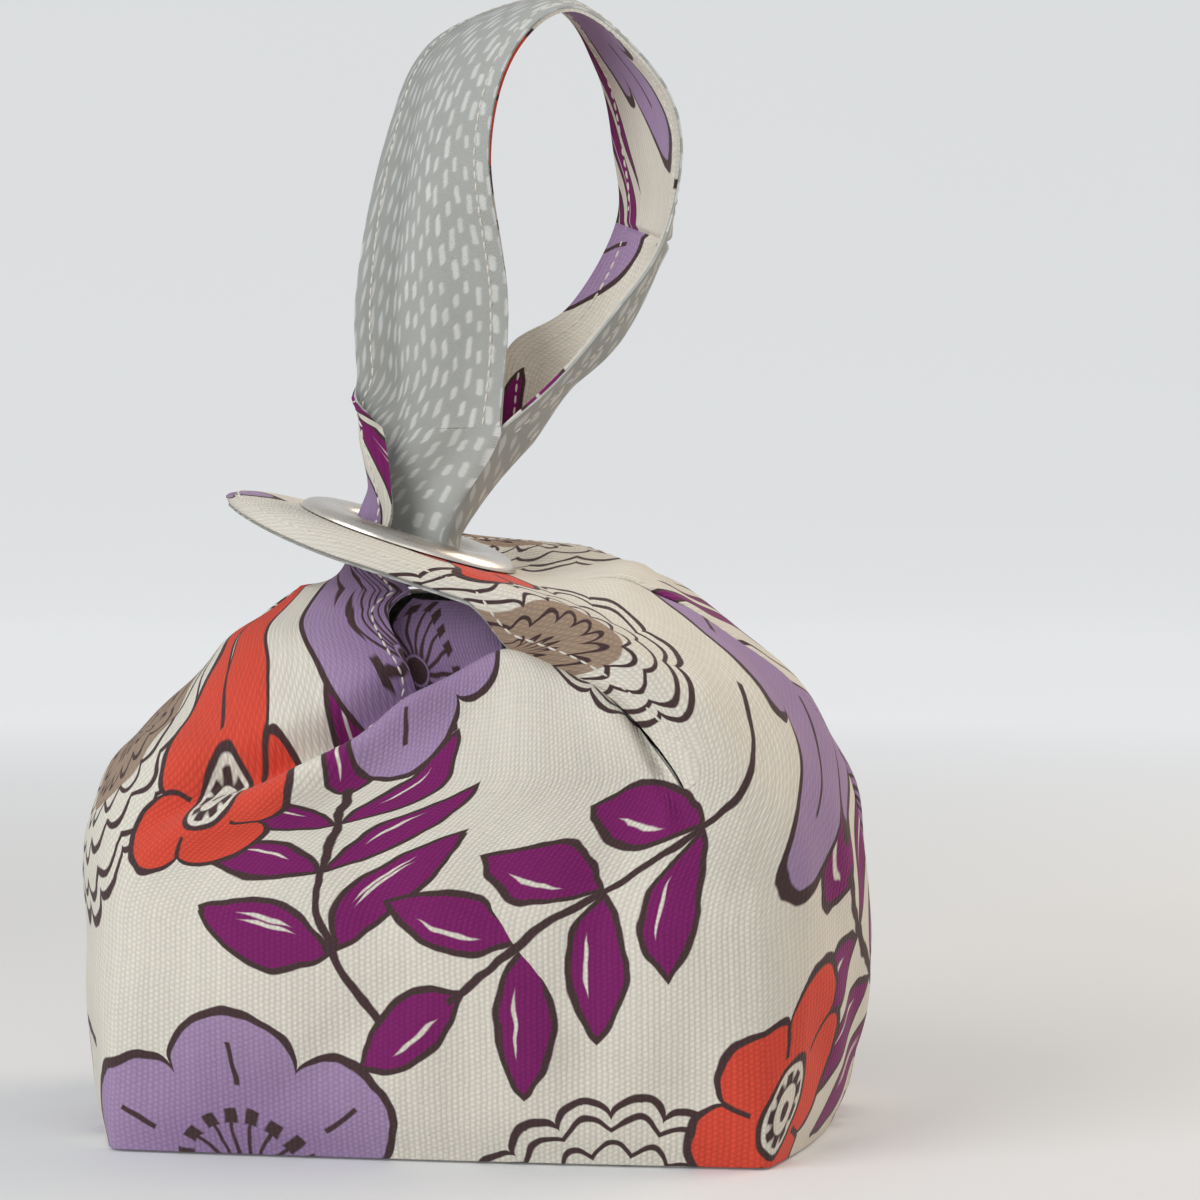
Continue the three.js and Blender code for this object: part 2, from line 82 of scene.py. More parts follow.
# Handle loop, from the front leg over the top to the back leg. Each station has the middle of the
# strap (right, back, up), its heading and lean, the width that shows and how far it is cupped.
STRAP_STATIONS = [
    ((-11.0, -5.0, 196.5), 9, 0.025, 41.4, -1.0),
    ((-11.4, -2.0, 232.9), 11, 0.0, 45.5, 3.0),
    ((-10.0, 1.0, 275.2), 38, -0.11, 43.8, 3.0),
    ((0.4, 1.0, 303.4), 50, -0.15, 45.0, 2.0),
    ((25.0, 0.0, 314.0), 70, -0.15, 39.0, 2.0),
    ((42.6, -1.0, 296.4), 59, -0.1, 38.0, 2.0),
    ((49.0, -2.0, 275.2), 55, 0.0, 38.4, 3.0),
    ((47.0, -3.0, 251.7), 61, -0.2, 32.8, 6.0),
    ((33.7, -3.0, 230.2), 58, -0.1, 28.0, 11.0),
    ((16.8, 0.0, 215.2), 49, -0.28, 26.6, 13.0),
    ((7.6, 1.5, 197.5), 80.4, -0.05, 19.3, 9.0),
]
SEAM_STATION = 7

# The strap's back edge is folded over where it leaves the grommet: width and radius of the fold.
FOLDED_BACK, FOLD_RADIUS = 18.5, 3.5

# Section of the gathered neck at the grommet, from the front edge round the fold to the back edge.
GATHER = [
    (-5.0, -12.0), (-12.8, -9.6), (-14.6, 1.0), (-3.5, 1.5),
    (10.0, -4.5), (12.5, 3.0), (8.5, 8.6), (3.0, 11.0), (-2.5, 11.7),
]


# ---------------------------------------------------------------- curves and surfaces

def ease(value, low, high):
    share = np.clip((value - low) / (high - low), 0, 1)
    return share * share * (3 - 2 * share)


def bell(value, middle, spread):
    return np.exp(-(((value - middle) / spread) ** 2))


def smooth_step(low, high, low_slope, high_slope, share, width=1):
    """Points between two ends, at a share of the way, that leave each end along its slope."""
    rest = 1 - share
    return (
        low * (1 + 2 * share) * rest * rest
        + high * (1 + 2 * rest) * share * share
        + width * share * rest * (low_slope * rest - high_slope * share)
    )


def curve(value, places, heights):
    """A smooth line through a few given heights."""
    places = np.asarray(places, float)
    heights = np.asarray(heights, float)
    slopes = np.gradient(heights, places)
    value = np.clip(value, places[0], places[-1])
    span = np.clip(np.searchsorted(places, value, side="right") - 1, 0, len(places) - 2)
    width = places[span + 1] - places[span]
    share = (value - places[span]) / width
    ends = heights[span], heights[span + 1], slopes[span], slopes[span + 1]
    return smooth_step(*ends, share, width)


def through(points, at):
    """Points of a smooth curve through a row of points, or of rows of points."""
    points = np.asarray(points, float)
    slopes = np.gradient(points, axis=0)
    at = np.asarray(at, float)
    span = np.clip(np.floor(at).astype(int), 0, len(points) - 2)
    share = (at - span).reshape((-1,) + (1,) * (points.ndim - 1))
    return smooth_step(points[span], points[span + 1], slopes[span], slopes[span + 1], share)


def ripple(across, up, seed):
    """Slow, shallow unevenness of hand-sewn cloth, about one unit high."""
    dice = np.random.default_rng(seed)
    height = np.zeros(np.broadcast(across, up).shape)
    for _ in range(7):
        angle = dice.uniform(0, 2 * math.pi)
        length = dice.uniform(22, 70)
        phase = dice.uniform(0, 2 * math.pi)
        place = (across * math.cos(angle) + up * math.sin(angle)) / length
        height = height + np.sin(2 * math.pi * place + phase) / 3
    return height


def unit(vectors):
    return vectors / np.maximum(np.linalg.norm(vectors, axis=-1, keepdims=True), 1e-9)


def lining_side(grid):
    """Directions from the printed face to the lining, for each point of a grid."""
    return unit(np.cross(np.gradient(grid, axis=1), np.gradient(grid, axis=0)))


def lengths_along(grid, axis):
    steps = np.linalg.norm(np.diff(grid, axis=axis), axis=2)
    start = np.zeros_like(np.take(steps, [0], axis=axis))
    return np.concatenate([start, np.cumsum(steps, axis=axis)], axis=axis)


def at_lengths(places, length, values):
    """Values along a line, at places between its ends."""
    return np.stack([np.interp(places, length, column) for column in values.T], axis=-1)


def line_lengths(line):
    return lengths_along(line[:, None], 0)[:, 0]


def even_shares(line, share, values=None):
    """Points of a line, or values along it, at even shares of its length."""
    length = line_lengths(line)
    return at_lengths(share * length[-1], length, line if values is None else values)


def lay_flat(grid, anchor, belly):
    """Pattern coordinates: up along each column from the first row, and across from one column.
    Where the wall narrows above the belly row, gathers take up some of the spare width."""
    level_only = grid * np.array([1.0, 1.0, 0.0])
    across = lengths_along(level_only, 1)
    across = across - across[:, [anchor]]
    gathered = 0.35
    across[belly:] = (1 - gathered) * across[belly:] + gathered * across[belly]
    across[:belly] = across[belly]
    return np.stack([across, lengths_along(grid, 0)], axis=2)


# ---------------------------------------------------------------- the bag's wall

def ring_corner_to_corner(level, turn):
    corners, swells = np.array(level[0], float), np.array(level[1], float)
    along = np.mod(turn + 4.5, 4)
    side = np.floor(along).astype(int) % 4
    share = (along - np.floor(along))[:, None]
    straight = corners[side] * (1 - share) + corners[(side + 1) % 4] * share
    return straight + swells[side] * 4 * share * (1 - share)


def ring(level, turn):
    """One level of the wall. Turn 0 is the middle of the right side, 1 the front's and so on."""
    rounding = level[2]
    total = 0
    weights = 0
    for step in np.linspace(-1, 1, 9):
        weight = 1 + math.cos(math.pi * step)
        total = total + weight * ring_corner_to_corner(level, turn + step * rounding)
        weights += weight
    return total / weights


def smooth_wall(turn, rise):
    """Points of the wall without its folds. Rise is 0 at the base and 1 at the mouth. Above the
    belly the front is drawn round towards the tongue."""
    drift = np.interp(turn, [0.5, 1.5, 2.0], [0, 1, 0], left=0, right=0)
    drawn = 0.34 * ease(rise, 0.38, 0.6) * (1 - 0.9 * ease(rise, 0.76, 1.0))
    rings = np.stack([ring(level, turn - drawn * drift) for level in LEVELS])
    slopes = np.gradient(rings, axis=0)
    place = rise * (len(LEVELS) - 1)
    span = np.clip(np.floor(place).astype(int), 0, len(LEVELS) - 2)
    item = np.arange(len(turn))
    share = (place - span)[:, None]
    ends = rings[span, item], rings[span + 1, item], slopes[span, item], slopes[span + 1, item]
    return smooth_step(*ends, share)


def wall_lining_side(surface, turn, rise):
    """The direction from the printed face to the lining, from two short steps on the surface."""
    step = 0.004
    across = surface(turn + step, rise) - surface(turn - step, rise)
    up = surface(turn, np.minimum(rise + step, 1)) - surface(turn, np.maximum(rise - step, 0))
    return unit(np.cross(across, up))


# The main fold of the wall: its line (right, up), the height of its crest and the depth behind it.
FOLD_X = [-92, -78, -62, -52, -41, -29, -17, -8, 5, 15, 30, 45, 52, 60, 68, 80, 92]
FOLD_Z = [84, 92, 102, 105, 109, 115, 123, 129, 137, 142, 140, 133, 125, 111, 100, 94, 88]
CREST = [0, 1, 4, 5, 7, 7, 7, 7, 6, 5, 4, 3, 2, 1, 0, 0, 0]
VALLEY = [0, 3, 8, 10, 12, 14, 14, 13, 12, 11, 10, 9, 7, 5, 3, 1, 0]

# How far the cloth sinks along the side seams, and beside the slits below the flap.
SEAM_GROOVE, SLIT_DIP = 0.9, 3.8

# Soft dents that drag across the front: two ends (right, up), half width and depth.
DENTS = [
    ((-5, 50), (-42, 14), 7, 1.3), ((33, 78), (80, 74), 8, 1.1), ((58, 100), (36, 50), 9, 1.4),
    ((-59, 96), (-76, 20), 10, 1.2), ((40, 29), (88, 8), 7, 1.0), ((-30, 96), (-12, 66), 8, 0.9),
]


def dent_depth(x, z):
    total = 0 * x
    for start, end, width, depth in DENTS:
        along = np.array(end, float) - np.array(start, float)
        share = ((x - start[0]) * along[0] + (z - start[1]) * along[1]) / (along @ along)
        share = np.clip(share, 0, 1)
        away = np.hypot(x - start[0] - along[0] * share, z - start[1] - along[1] * share)
        total = total + depth * bell(away, 0, width)
    return total


def fold_depth(wall, part, seed):
    """How far the folds push the wall out: a crest, the valley behind it and the cloth tucked in.
    The back has the same folds, lower and softer."""
    x, y, z = wall[:, 0], wall[:, 1], wall[:, 2]
    strength = ease(-y, 5, 22) + 0.55 * ease(y, 5, 22)
    above = z - curve(x, FOLD_X, FOLD_Z) - 6 * ease(y, 5, 22)
    push = curve(x, FOLD_X, CREST) * bell(above, -9, 7)
    push = push - curve(x, FOLD_X, VALLEY) * bell(above, 0, 6)
    if part == "front":
        push = push - (5 + 2 * ease(15 - x, 0, 15)) * ease(above, -2, 10) * ease(60 - x, 0, 20)
    dents = dent_depth(np.where(y < 0, x, 6 - 0.9 * x), z) * ease(np.abs(y), 5, 22)
    return push * strength + (0.7 * ripple(x + y, z, seed) - dents) * ease(z, 2, 25)


def folded_wall(part, seed):
    """The surface of one part of the wall, with its folds."""
    def surface(turn, rise):
        wall = smooth_wall(turn, rise)
        push = fold_depth(wall, part, seed)
        from_seam = np.abs(np.mod(turn + 1, 2) - 1)
        push = push - SEAM_GROOVE * bell(from_seam, 0, 0.006) * ease(rise, 0.01, 0.05)
        if part == "front":
            from_side = np.minimum(turn, 4 - turn)
            near_slit = ease(from_side, 0.62, 0.69) * ease(1.1 - from_side, 0, 0.3)
            push = push - SLIT_DIP * ease(rise, 0.46, 0.58) * near_slit
        return wall - wall_lining_side(smooth_wall, turn, rise) * push[:, None]
    return surface


def top_rise(turn):
    """The wall's top edge falls at the corners of the flap, where the slits start."""
    depth = np.where(turn < 2, 0.45, 0.3)
    from_side = np.minimum(turn, 4 - turn)
    return 1 - depth * ease(from_side, 0.22, 0.62) * (1 - ease(from_side, 0.62, 0.74))


def wall_grid(turn, rise, part, seed):
    """Points of one part of the wall and their directions to the lining."""
    fall = 1 - top_rise(turn)
    places = rise[:, None] - fall[None, :] * ease(rise, 0.25, 1.0)[:, None]
    turns = np.broadcast_to(turn, places.shape).ravel()
    surface = folded_wall(part, seed)
    points = surface(turns, places.ravel())
    inwards = wall_lining_side(surface, turns, places.ravel())
    return points.reshape(places.shape + (3,)), inwards.reshape(places.shape + (3,)), places


# ---------------------------------------------------------------- the loop handle

def strap_curves():
    back_edge = []
    front_edge = []
    cups = []
    for middle, heading, lean, width, cup in STRAP_STATIONS:
        angle = math.radians(heading)
        reach = np.array([math.cos(angle), -math.sin(angle), lean]) * width / 2
        back_edge.append(np.array(middle) - reach)
        front_edge.append(np.array(middle) + reach)
        cups.append(cup)
    return np.array(back_edge), np.array(front_edge), np.array(cups, float)


BACK_EDGE, FRONT_EDGE, CUPS = strap_curves()


def strap_grid(across, along):
    """The strap's printed face. Across runs from the back edge to the front edge."""
    places = np.asarray(along) * (len(STRAP_STATIONS) - 1)
    back = through(BACK_EDGE, places)[:, None, :]
    front = through(FRONT_EDGE, places)[:, None, :]
    cup = through(CUPS[:, None], places)[:, None, :]
    middle = (back + front) / 2
    ahead = through((BACK_EDGE + FRONT_EDGE) / 2, places + 0.02)[:, None, :]
    outwards = unit(np.cross(front - back, ahead - middle))
    share = np.asarray(across)[None, :, None]
    width = np.linalg.norm(front - back, axis=2, keepdims=True)
    along_row = (front - back) / width
    hook = FOLDED_BACK * (1 - ease(places, -0.35, 0.48))[:, None, None]
    radius = FOLD_RADIUS
    fold = width - radius * np.minimum(1, hook / 8)
    reach = (1 - share) * (width + hook)
    turned = np.clip((reach - fold) / radius, 0, math.pi)
    past = np.clip(reach - fold - radius * math.pi, 0, None)
    left = np.minimum(reach, fold) + radius * np.sin(turned) - past
    forward = radius * (1 - np.cos(turned))
    bulge = cup * 4 * np.clip(left / width, 0, 1) * np.clip(1 - left / width, 0, 1)
    low = (1 - ease(places, 1.5, 2.8))[:, None, None]
    crease = 3.0 * bell(left / width, 0.74, 0.12) - 1.2 * bell(left / width, 0.42, 0.14)
    return front - along_row * left + outwards * (forward + bulge - low * crease)


def gather_row(across, lift):
    section = through(np.array(GATHER), np.asarray(across) * (len(GATHER) - 1))
    axis = unit(np.array([TILT, 0.0, 1.0]))
    right = unit(np.array([1.0, 0.0, -TILT]))
    back = np.cross(axis, right)
    return GROMMET + section[:, [0]] * right + section[:, [1]] * back + lift * axis


def both_legs(across, along):
    """Points a short way along the loop from both its ends: the front leg, then the back leg."""
    front = strap_grid(2 * np.minimum(across, 0.5), [along])[0]
    back = strap_grid(2 - 2 * np.maximum(across, 0.5), [1 - along])[0]
    return np.where((across <= 0.5)[:, None], front, back)


def tongue_grid(across, rows, wall_below, wall_top):
    """The gathered side of the bag, from the wall through the grommet to where the legs part."""
    path = np.stack([
        wall_below, wall_top, gather_row(across, -7), gather_row(across, 7),
        both_legs(across, 0.0), both_legs(across, 0.04),
    ])
    return through(path, np.linspace(1, 4, rows))


# ---------------------------------------------------------------- the flap

# Where the flap's root lies, its length, its reach beyond the grommet's centre, how square its tip
# is, and the hole below the grommet.
FLAP_ROOT, FLAP_LENGTH, FLAP_TIP, FLAP_SQUARENESS, FLAP_HOLE = 48, 120.6, 53.6, 2.3, 24

# Half width of the flap, where it starts to bend and the bend's radius: in front, where the front
# edge is rolled under, and at the back.
FLAP_FRONT, FLAP_ROLLED, FLAP_BACK = np.array([(46.2, 33, 11), (58, 37, 6.5), (46, 33, 11)])


def flap_plane(x):
    return GROMMET[2] - TILT * (x - GROMMET[0])


def root_height(y):
    heights = [130, 137, 142, 149.5, 155, 157.5, 158, 155]
    return curve(y, [-48, -38, -30, -15, 0, 15, 30, 46], heights)


def free_flap_row(x, share, side):
    """One row of the flap from its middle line to its front edge (side -1) or back edge (side 1).
    In front and at the tip it bends down round the grommet. Its back half lies on the bag."""
    before = GROMMET[0] - x
    tip = np.clip(before / FLAP_TIP, 0, 1)
    outline = math.sqrt(max(0.0, 1 - tip ** FLAP_SQUARENESS))
    curl = float(ease(x, 5, 19))
    if side < 0:
        wide, level, radius = FLAP_FRONT * (1 - curl) + FLAP_ROLLED * curl
        weight = 1.0
    else:
        wide, level, radius = FLAP_BACK
        weight = 0.0
    s = share * wide * outline
    if before > 0:
        spread = np.hypot(before, s)
        ahead = np.clip(before / np.maximum(spread, 1e-6), 0, 1) ** 2
        level = level + 4 * ahead
        radius = radius + 3 * ahead
        weight = weight + (0.45 - weight) * ahead
    else:
        spread = s
    steepest = 1.72
    angle = np.clip((spread - level) / radius, 0, steepest)
    past = np.clip(spread - level - radius * steepest, 0, None)
    bent = np.minimum(spread, level) + radius * np.sin(angle) + past * math.cos(steepest)
    kept = 1 + weight * (bent / np.maximum(spread, 1e-6) - 1)
    drop = weight * (radius * (1 - np.cos(angle)) + past * math.sin(steepest))
    y = side * s * kept
    place = GROMMET[0] - before * kept if before > 0 else np.full_like(y, x)
    hip = float(ease(x, 25, 70))
    z = flap_plane(place) * (1 - hip) + root_height(y) * hip - drop
    back_edge = curve(x, [-72, -45, -12, 18, 31, 48], [178, 173, 165.5, 162.5, 161, 156])
    beyond = ease(np.hypot((place - GROMMET[0]) / math.cos(math.atan(TILT)), y), RIM + 1, RIM + 16)
    z = z + (back_edge - flap_plane(x)) * (1 - hip) * ease(y, 0, 45) * beyond
    return np.stack([place + 0 * y, y, z], axis=1)


def flap_grid(share, rows, side, root, leaving):
    """Half of the flap, from its root on the wall to its tip. It leaves along the wall's slope."""
    xs = FLAP_ROOT - FLAP_LENGTH * np.linspace(0, 1, rows)
    free = np.stack([free_flap_row(x, share, side) for x in xs])
    step = 0.1
    started = (free_flap_row(FLAP_ROOT - step, share, side) - free[0]) / step
    reach = (34 - 15 * share ** 2 if side < 0 else 34 + 0 * share)[None, :, None]
    way = np.clip((FLAP_ROOT - xs)[:, None, None] / reach, 0, 1)
    hold = 1 - 3 * way ** 2 + 2 * way ** 3
    height_hold = hold ** (1 + 0.6 * share[None, :, None])
    turn_over = (way - 2 * way ** 2 + way ** 3) * reach
    held = np.concatenate([hold, hold, height_hold], axis=2)
    return free + (root - free[0]) * held + (leaving - started) * turn_over


# ---------------------------------------------------------------- making cloth pieces

def grid_faces(rows, columns):
    """Corners of the faces of a grid of points, seen from the printed side."""
    place = np.arange(rows * columns).reshape(rows, columns)
    corners = [place[:-1, :-1], place[1:, :-1], place[1:, 1:], place[:-1, 1:]]
    return np.stack([corner.ravel() for corner in corners], axis=1)


def new_piece(name, points, faces, material):
    data = bpy.data.meshes.new(name)
    data.from_pydata(np.concatenate(points).tolist(), [], faces)
    data.materials.append(material)
    piece = bpy.data.objects.new(name, data)
    bpy.context.collection.objects.link(piece)
    return piece


def choose(piece):
    bpy.ops.object.select_all(action="DESELECT")
    piece.select_set(True)
    bpy.context.view_layer.objects.active = piece


def cloth(name, grids, layer, material, hole=0):
    """A sheet of cloth from one or more grids of the printed face, sewn together where they meet,
    and given its thickness between two depths below the printed face. A hole is cut round the
    grommet, and no layer sinks below the one that it lies on."""
    points, faces, pattern = [], [], []
    start = 0
    for grid, flat, *given in grids:
        inwards = given[0] if given else lining_side(grid)
        points.append((grid + inwards * layer[0]).reshape(-1, 3) * MM)
        pattern.append(flat.reshape(-1, 2) * MM)
        corners = grid_faces(*grid.shape[:2])
        from_grommet = np.linalg.norm(grid - GROMMET, axis=2).ravel()
        faces.append(corners[from_grommet[corners].min(axis=1) >= hole] + start)
        start += grid.shape[0] * grid.shape[1]
    faces = np.concatenate(faces)
    piece = new_piece(name, points, faces.tolist(), material)
    data = piece.data
    flat_corners = np.concatenate(pattern)[faces.ravel()]
    data.uv_layers.new(name="pattern").data.foreach_set("uv", flat_corners.ravel())
    choose(piece)
    bpy.ops.object.mode_set(mode="EDIT")
    bpy.ops.mesh.select_all(action="SELECT")
    bpy.ops.mesh.remove_doubles(threshold=0.00003)
    bpy.ops.mesh.dissolve_degenerate(threshold=0.000001)
    bpy.ops.object.mode_set(mode="OBJECT")
    thickness = piece.modifiers.new("thickness", "SOLIDIFY")
    thickness.thickness = (layer[1] - layer[0]) * MM
    thickness.offset = -1
    thickness.use_quality_normals = True
    bpy.ops.object.modifier_apply(modifier="thickness")
    places = np.zeros(len(data.vertices) * 3)
    data.vertices.foreach_get("co", places)
    places[2::3] = np.maximum(places[2::3], layer[0] * MM)
    data.vertices.foreach_set("co", places)
    smooth_by_angle(piece, 50)
    return piece


def smooth_by_angle(piece, degrees):
    choose(piece)
    bpy.ops.object.shade_smooth_by_angle(angle=math.radians(degrees))
    piece.select_set(False)


def extruded_ring(name, outline, scale, fill="NOTHING"):
    """A circle whose edge loop is extruded and resized along an outline of radius and height. It is
    left in edit mode."""
    bpy.ops.object.select_all(action="DESELECT")
    first_radius, first_height = outline[0]
    bpy.ops.mesh.primitive_circle_add(
        vertices=96, radius=first_radius * scale, fill_type=fill, location=(0, 0, 0)
    )
    piece = bpy.context.active_object
    piece.name = name
    bpy.ops.object.mode_set(mode="EDIT")
    bpy.ops.mesh.select_mode(type="EDGE")
    bpy.ops.mesh.select_all(action="SELECT")
    bpy.ops.transform.translate(value=(0, 0, first_height * scale))
    bpy.ops.mesh.select_all(action="DESELECT")
    bpy.ops.mesh.select_non_manifold()
    for (radius, height), (before, below) in zip(outline[1:], outline[:-1]):
        lift = (height - below) * scale
        bpy.ops.mesh.extrude_edges_move(TRANSFORM_OT_translate={"value": (0, 0, lift)})
        bpy.ops.transform.resize(value=(radius / before, radius / before, 1))
    return piece


# ---------------------------------------------------------------- finishes

def painted(red, green, blue):
    """A colour given as it looks on the cloth, 0 to 255, as the shader wants it."""
    shares = [value / 255 for value in (red, green, blue)]
    return tuple(s / 12.92 if s < 0.04045 else ((s + 0.055) / 1.055) ** 2.4 for s in shares)


CREAM = painted(240, 233, 219)
LAVENDER = painted(176, 148, 186)
LAVENDER_DEEP = painted(150, 118, 164)
PLUM = painted(134, 32, 108)
CORAL = painted(233, 82, 62)
TAN = painted(156, 124, 98)
INK = painted(78, 57, 58)


class Value:
    """A number, vector or colour in a finish, with the usual signs of arithmetic."""

    def __init__(self, wiring, socket):
        self.wiring = wiring
        self.socket = socket

    def __add__(self, other):
        return self.wiring.math("ADD", self, other)

    def __sub__(self, other):
        return self.wiring.math("SUBTRACT", self, other)

    def __rsub__(self, other):
        return self.wiring.math("SUBTRACT", other, self)

    def __mul__(self, other):
        return self.wiring.math("MULTIPLY", self, other)

    def __abs__(self):
        return self.wiring.math("ABSOLUTE", self)


class Wiring:
    """Short names for the nodes of one finish."""

    def __init__(self, name):
        self.material = bpy.data.materials.new(name)
        self.material.use_nodes = True
        self.nodes = self.material.node_tree.nodes
        self.links = self.material.node_tree.links
        self.shader = self.nodes["Principled BSDF"]

    def put(self, socket, value):
        if isinstance(value, Value):
            self.links.new(value.socket, socket)
        elif isinstance(value, tuple) and len(socket.default_value) == 4 and len(value) == 3:
            socket.default_value = (*value, 1)
        else:
            socket.default_value = value

    def fill(self, node, inputs):
        for key, value in inputs.items():
            self.put(node.inputs[key.replace("_", " ")], value)

    def sets(self, **inputs):
        """Values of the finish itself."""
        self.fill(self.shader, inputs)

    def nodes_of(self, kind, names, settings=None, **inputs):
        """Some outputs of a new node."""
        node = self.nodes.new(kind)
        for key, value in (settings or {}).items():
            setattr(node, key, value)
        self.fill(node, inputs)
        return [Value(self, node.outputs[name]) for name in names]

    def node(self, kind, name, settings=None, **inputs):
        """One output of a new node."""
        return self.nodes_of(kind, [name], settings, **inputs)[0]

    def math(self, operation, *values):
        node = self.nodes.new("ShaderNodeMath")
        node.operation = operation
        for socket, value in zip(node.inputs, values):
            self.put(socket, value)
        return Value(self, node.outputs[0])

    def higher(self, a, b):
        return self.math("MAXIMUM", a, b)

    def lower(self, a, b):
        return self.math("MINIMUM", a, b)

    def ramp(self, value, low, high, start=0.0, end=1.0, kind="LINEAR"):
        return self.node(
            "ShaderNodeMapRange", "Result", {"interpolation_type": kind},
            Value=value, From_Min=low, From_Max=high, To_Min=start, To_Max=end,
        )

    def inside(self, distance, edge=0.25):
        """1 where a distance in millimetres is below zero, with a soft edge."""
        return self.ramp(distance, edge, -edge, kind="SMOOTHSTEP")

    def over(self, ground, colour, share, kind="MIX"):
        """A colour laid over another."""
        node = self.nodes.new("ShaderNodeMix")
        node.data_type = "RGBA"
        node.blend_type = kind
        for place, value in ((0, share), (6, ground), (7, colour)):
            self.put(node.inputs[place], value)
        return Value(self, node.outputs[2])

    def dimmed(self, colour, share):
        """A colour times a grey value."""
        grey = self.node("ShaderNodeCombineColor", 0, Red=share, Green=share, Blue=share)
        return self.over(colour, grey, 1.0, "MULTIPLY")

    def noise(self, place, scale, detail=3.0):
        return self.node("ShaderNodeTexNoise", "Fac", Vector=place, Scale=scale, Detail=detail)

    def stretched(self, place, scale):
        return self.node("ShaderNodeMapping", 0, Vector=place, Scale=scale)

    def on_object(self):
        return self.node("ShaderNodeTexCoord", "Object")

    def pattern(self):
        """The cloth's own coordinates, across and up, in millimetres."""
        place = self.node("ShaderNodeUVMap", "UV", {"uv_map": "pattern"})
        across, up = self.nodes_of("ShaderNodeSeparateXYZ", "XY", Vector=place)
        return place, across * 1000.0, up * 1000.0

    def bumped(self, height, distance):
        bump = {"Height": height, "Distance": distance, "Strength": 1.0}
        self.sets(Normal=self.node("ShaderNodeBump", "Normal", **bump))

    def soft_cloth(self, sheen):
        """The dull shine of cotton."""
        self.sets(Sheen_Weight=sheen, Sheen_Roughness=0.5, Specular_IOR_Level=0.25)

    def finish(self, colour, rough):
        self.sets(Base_Color=colour, Roughness=rough)
        return self.material


# The print's repeat in millimetres.
REPEAT = 188.0


def from_middle(w, across, up, middle, turn):
    """Coordinates about a motif's middle, turned. The motif repeats in columns, each set half a
    repeat higher than the one before."""
    x = across - middle[0]
    column = w.math("FLOOR", x * (1 / REPEAT) + 0.5)
    x = x - column * REPEAT
    y = up - middle[1] + column * (REPEAT / 2)
    y = y - w.math("FLOOR", y * (1 / REPEAT) + 0.5) * REPEAT
    c, s = math.cos(math.radians(turn)), math.sin(math.radians(turn))
    return x * c + y * s, y * c - x * s


def round_blossom(w, x, y, radius, petals, notch):
    """Distance outside a blossom of rounded petals, then angle and distance from its middle."""
    away = w.math("SQRT", x * x + y * y)
    angle = w.math("ARCTAN2", y, x)
    lobe = w.math("POWER", abs(w.math("COSINE", angle * (petals / 2))), 0.55)
    return away - (lobe * notch + (1 - notch)) * radius, angle, away


def spokes(w, angle, away, count, low, high, width):
    """Thin lines that run out from a blossom's middle."""
    sideways = abs(w.math("SINE", angle * (count / 2))) * (away * (2 / count))
    return w.higher(sideways - width, w.higher(low - away, away - high))


def leaf(x, y, length, width):
    """Distance outside a pointed leaf that starts at the origin and lies along x."""
    share = x * (2 / length) - 1.0
    return abs(y) - (1.0 - share * share) * width


def sprig(w, x, y, length, spacing, leaf_length, leaf_width):
    """A stem along x with leaves on both sides and one at its end: distances outside the leaves,
    the stem and the glints on the leaves. Leaves reach past the next joint, so two are tried."""
    side = abs(y)
    joint = w.math("FLOOR", x * (1 / spacing)) * spacing
    leaf_angle = math.radians(52)
    c, s = math.cos(leaf_angle), math.sin(leaf_angle)
    leaves = leaf(x - (length - 5), y, leaf_length * 0.9, leaf_width)
    glints = w.higher(abs(y + 3.0) - 0.55, leaves + 4.2)
    for back in (0.0, spacing):
        step = w.higher(w.lower(joint - back, length - spacing), spacing - length)
        from_joint = x - step
        along = from_joint * c + side * s
        beside = side * c - from_joint * s
        one = leaf(along - 1.2, beside, leaf_length, leaf_width)
        leaves = w.lower(leaves, one)
        glints = w.lower(glints, w.higher(abs(beside + 3.2) - 0.55, one + 4.2))
    stem = w.higher(side - 1.15, abs(x) - length)
    return leaves, stem, glints


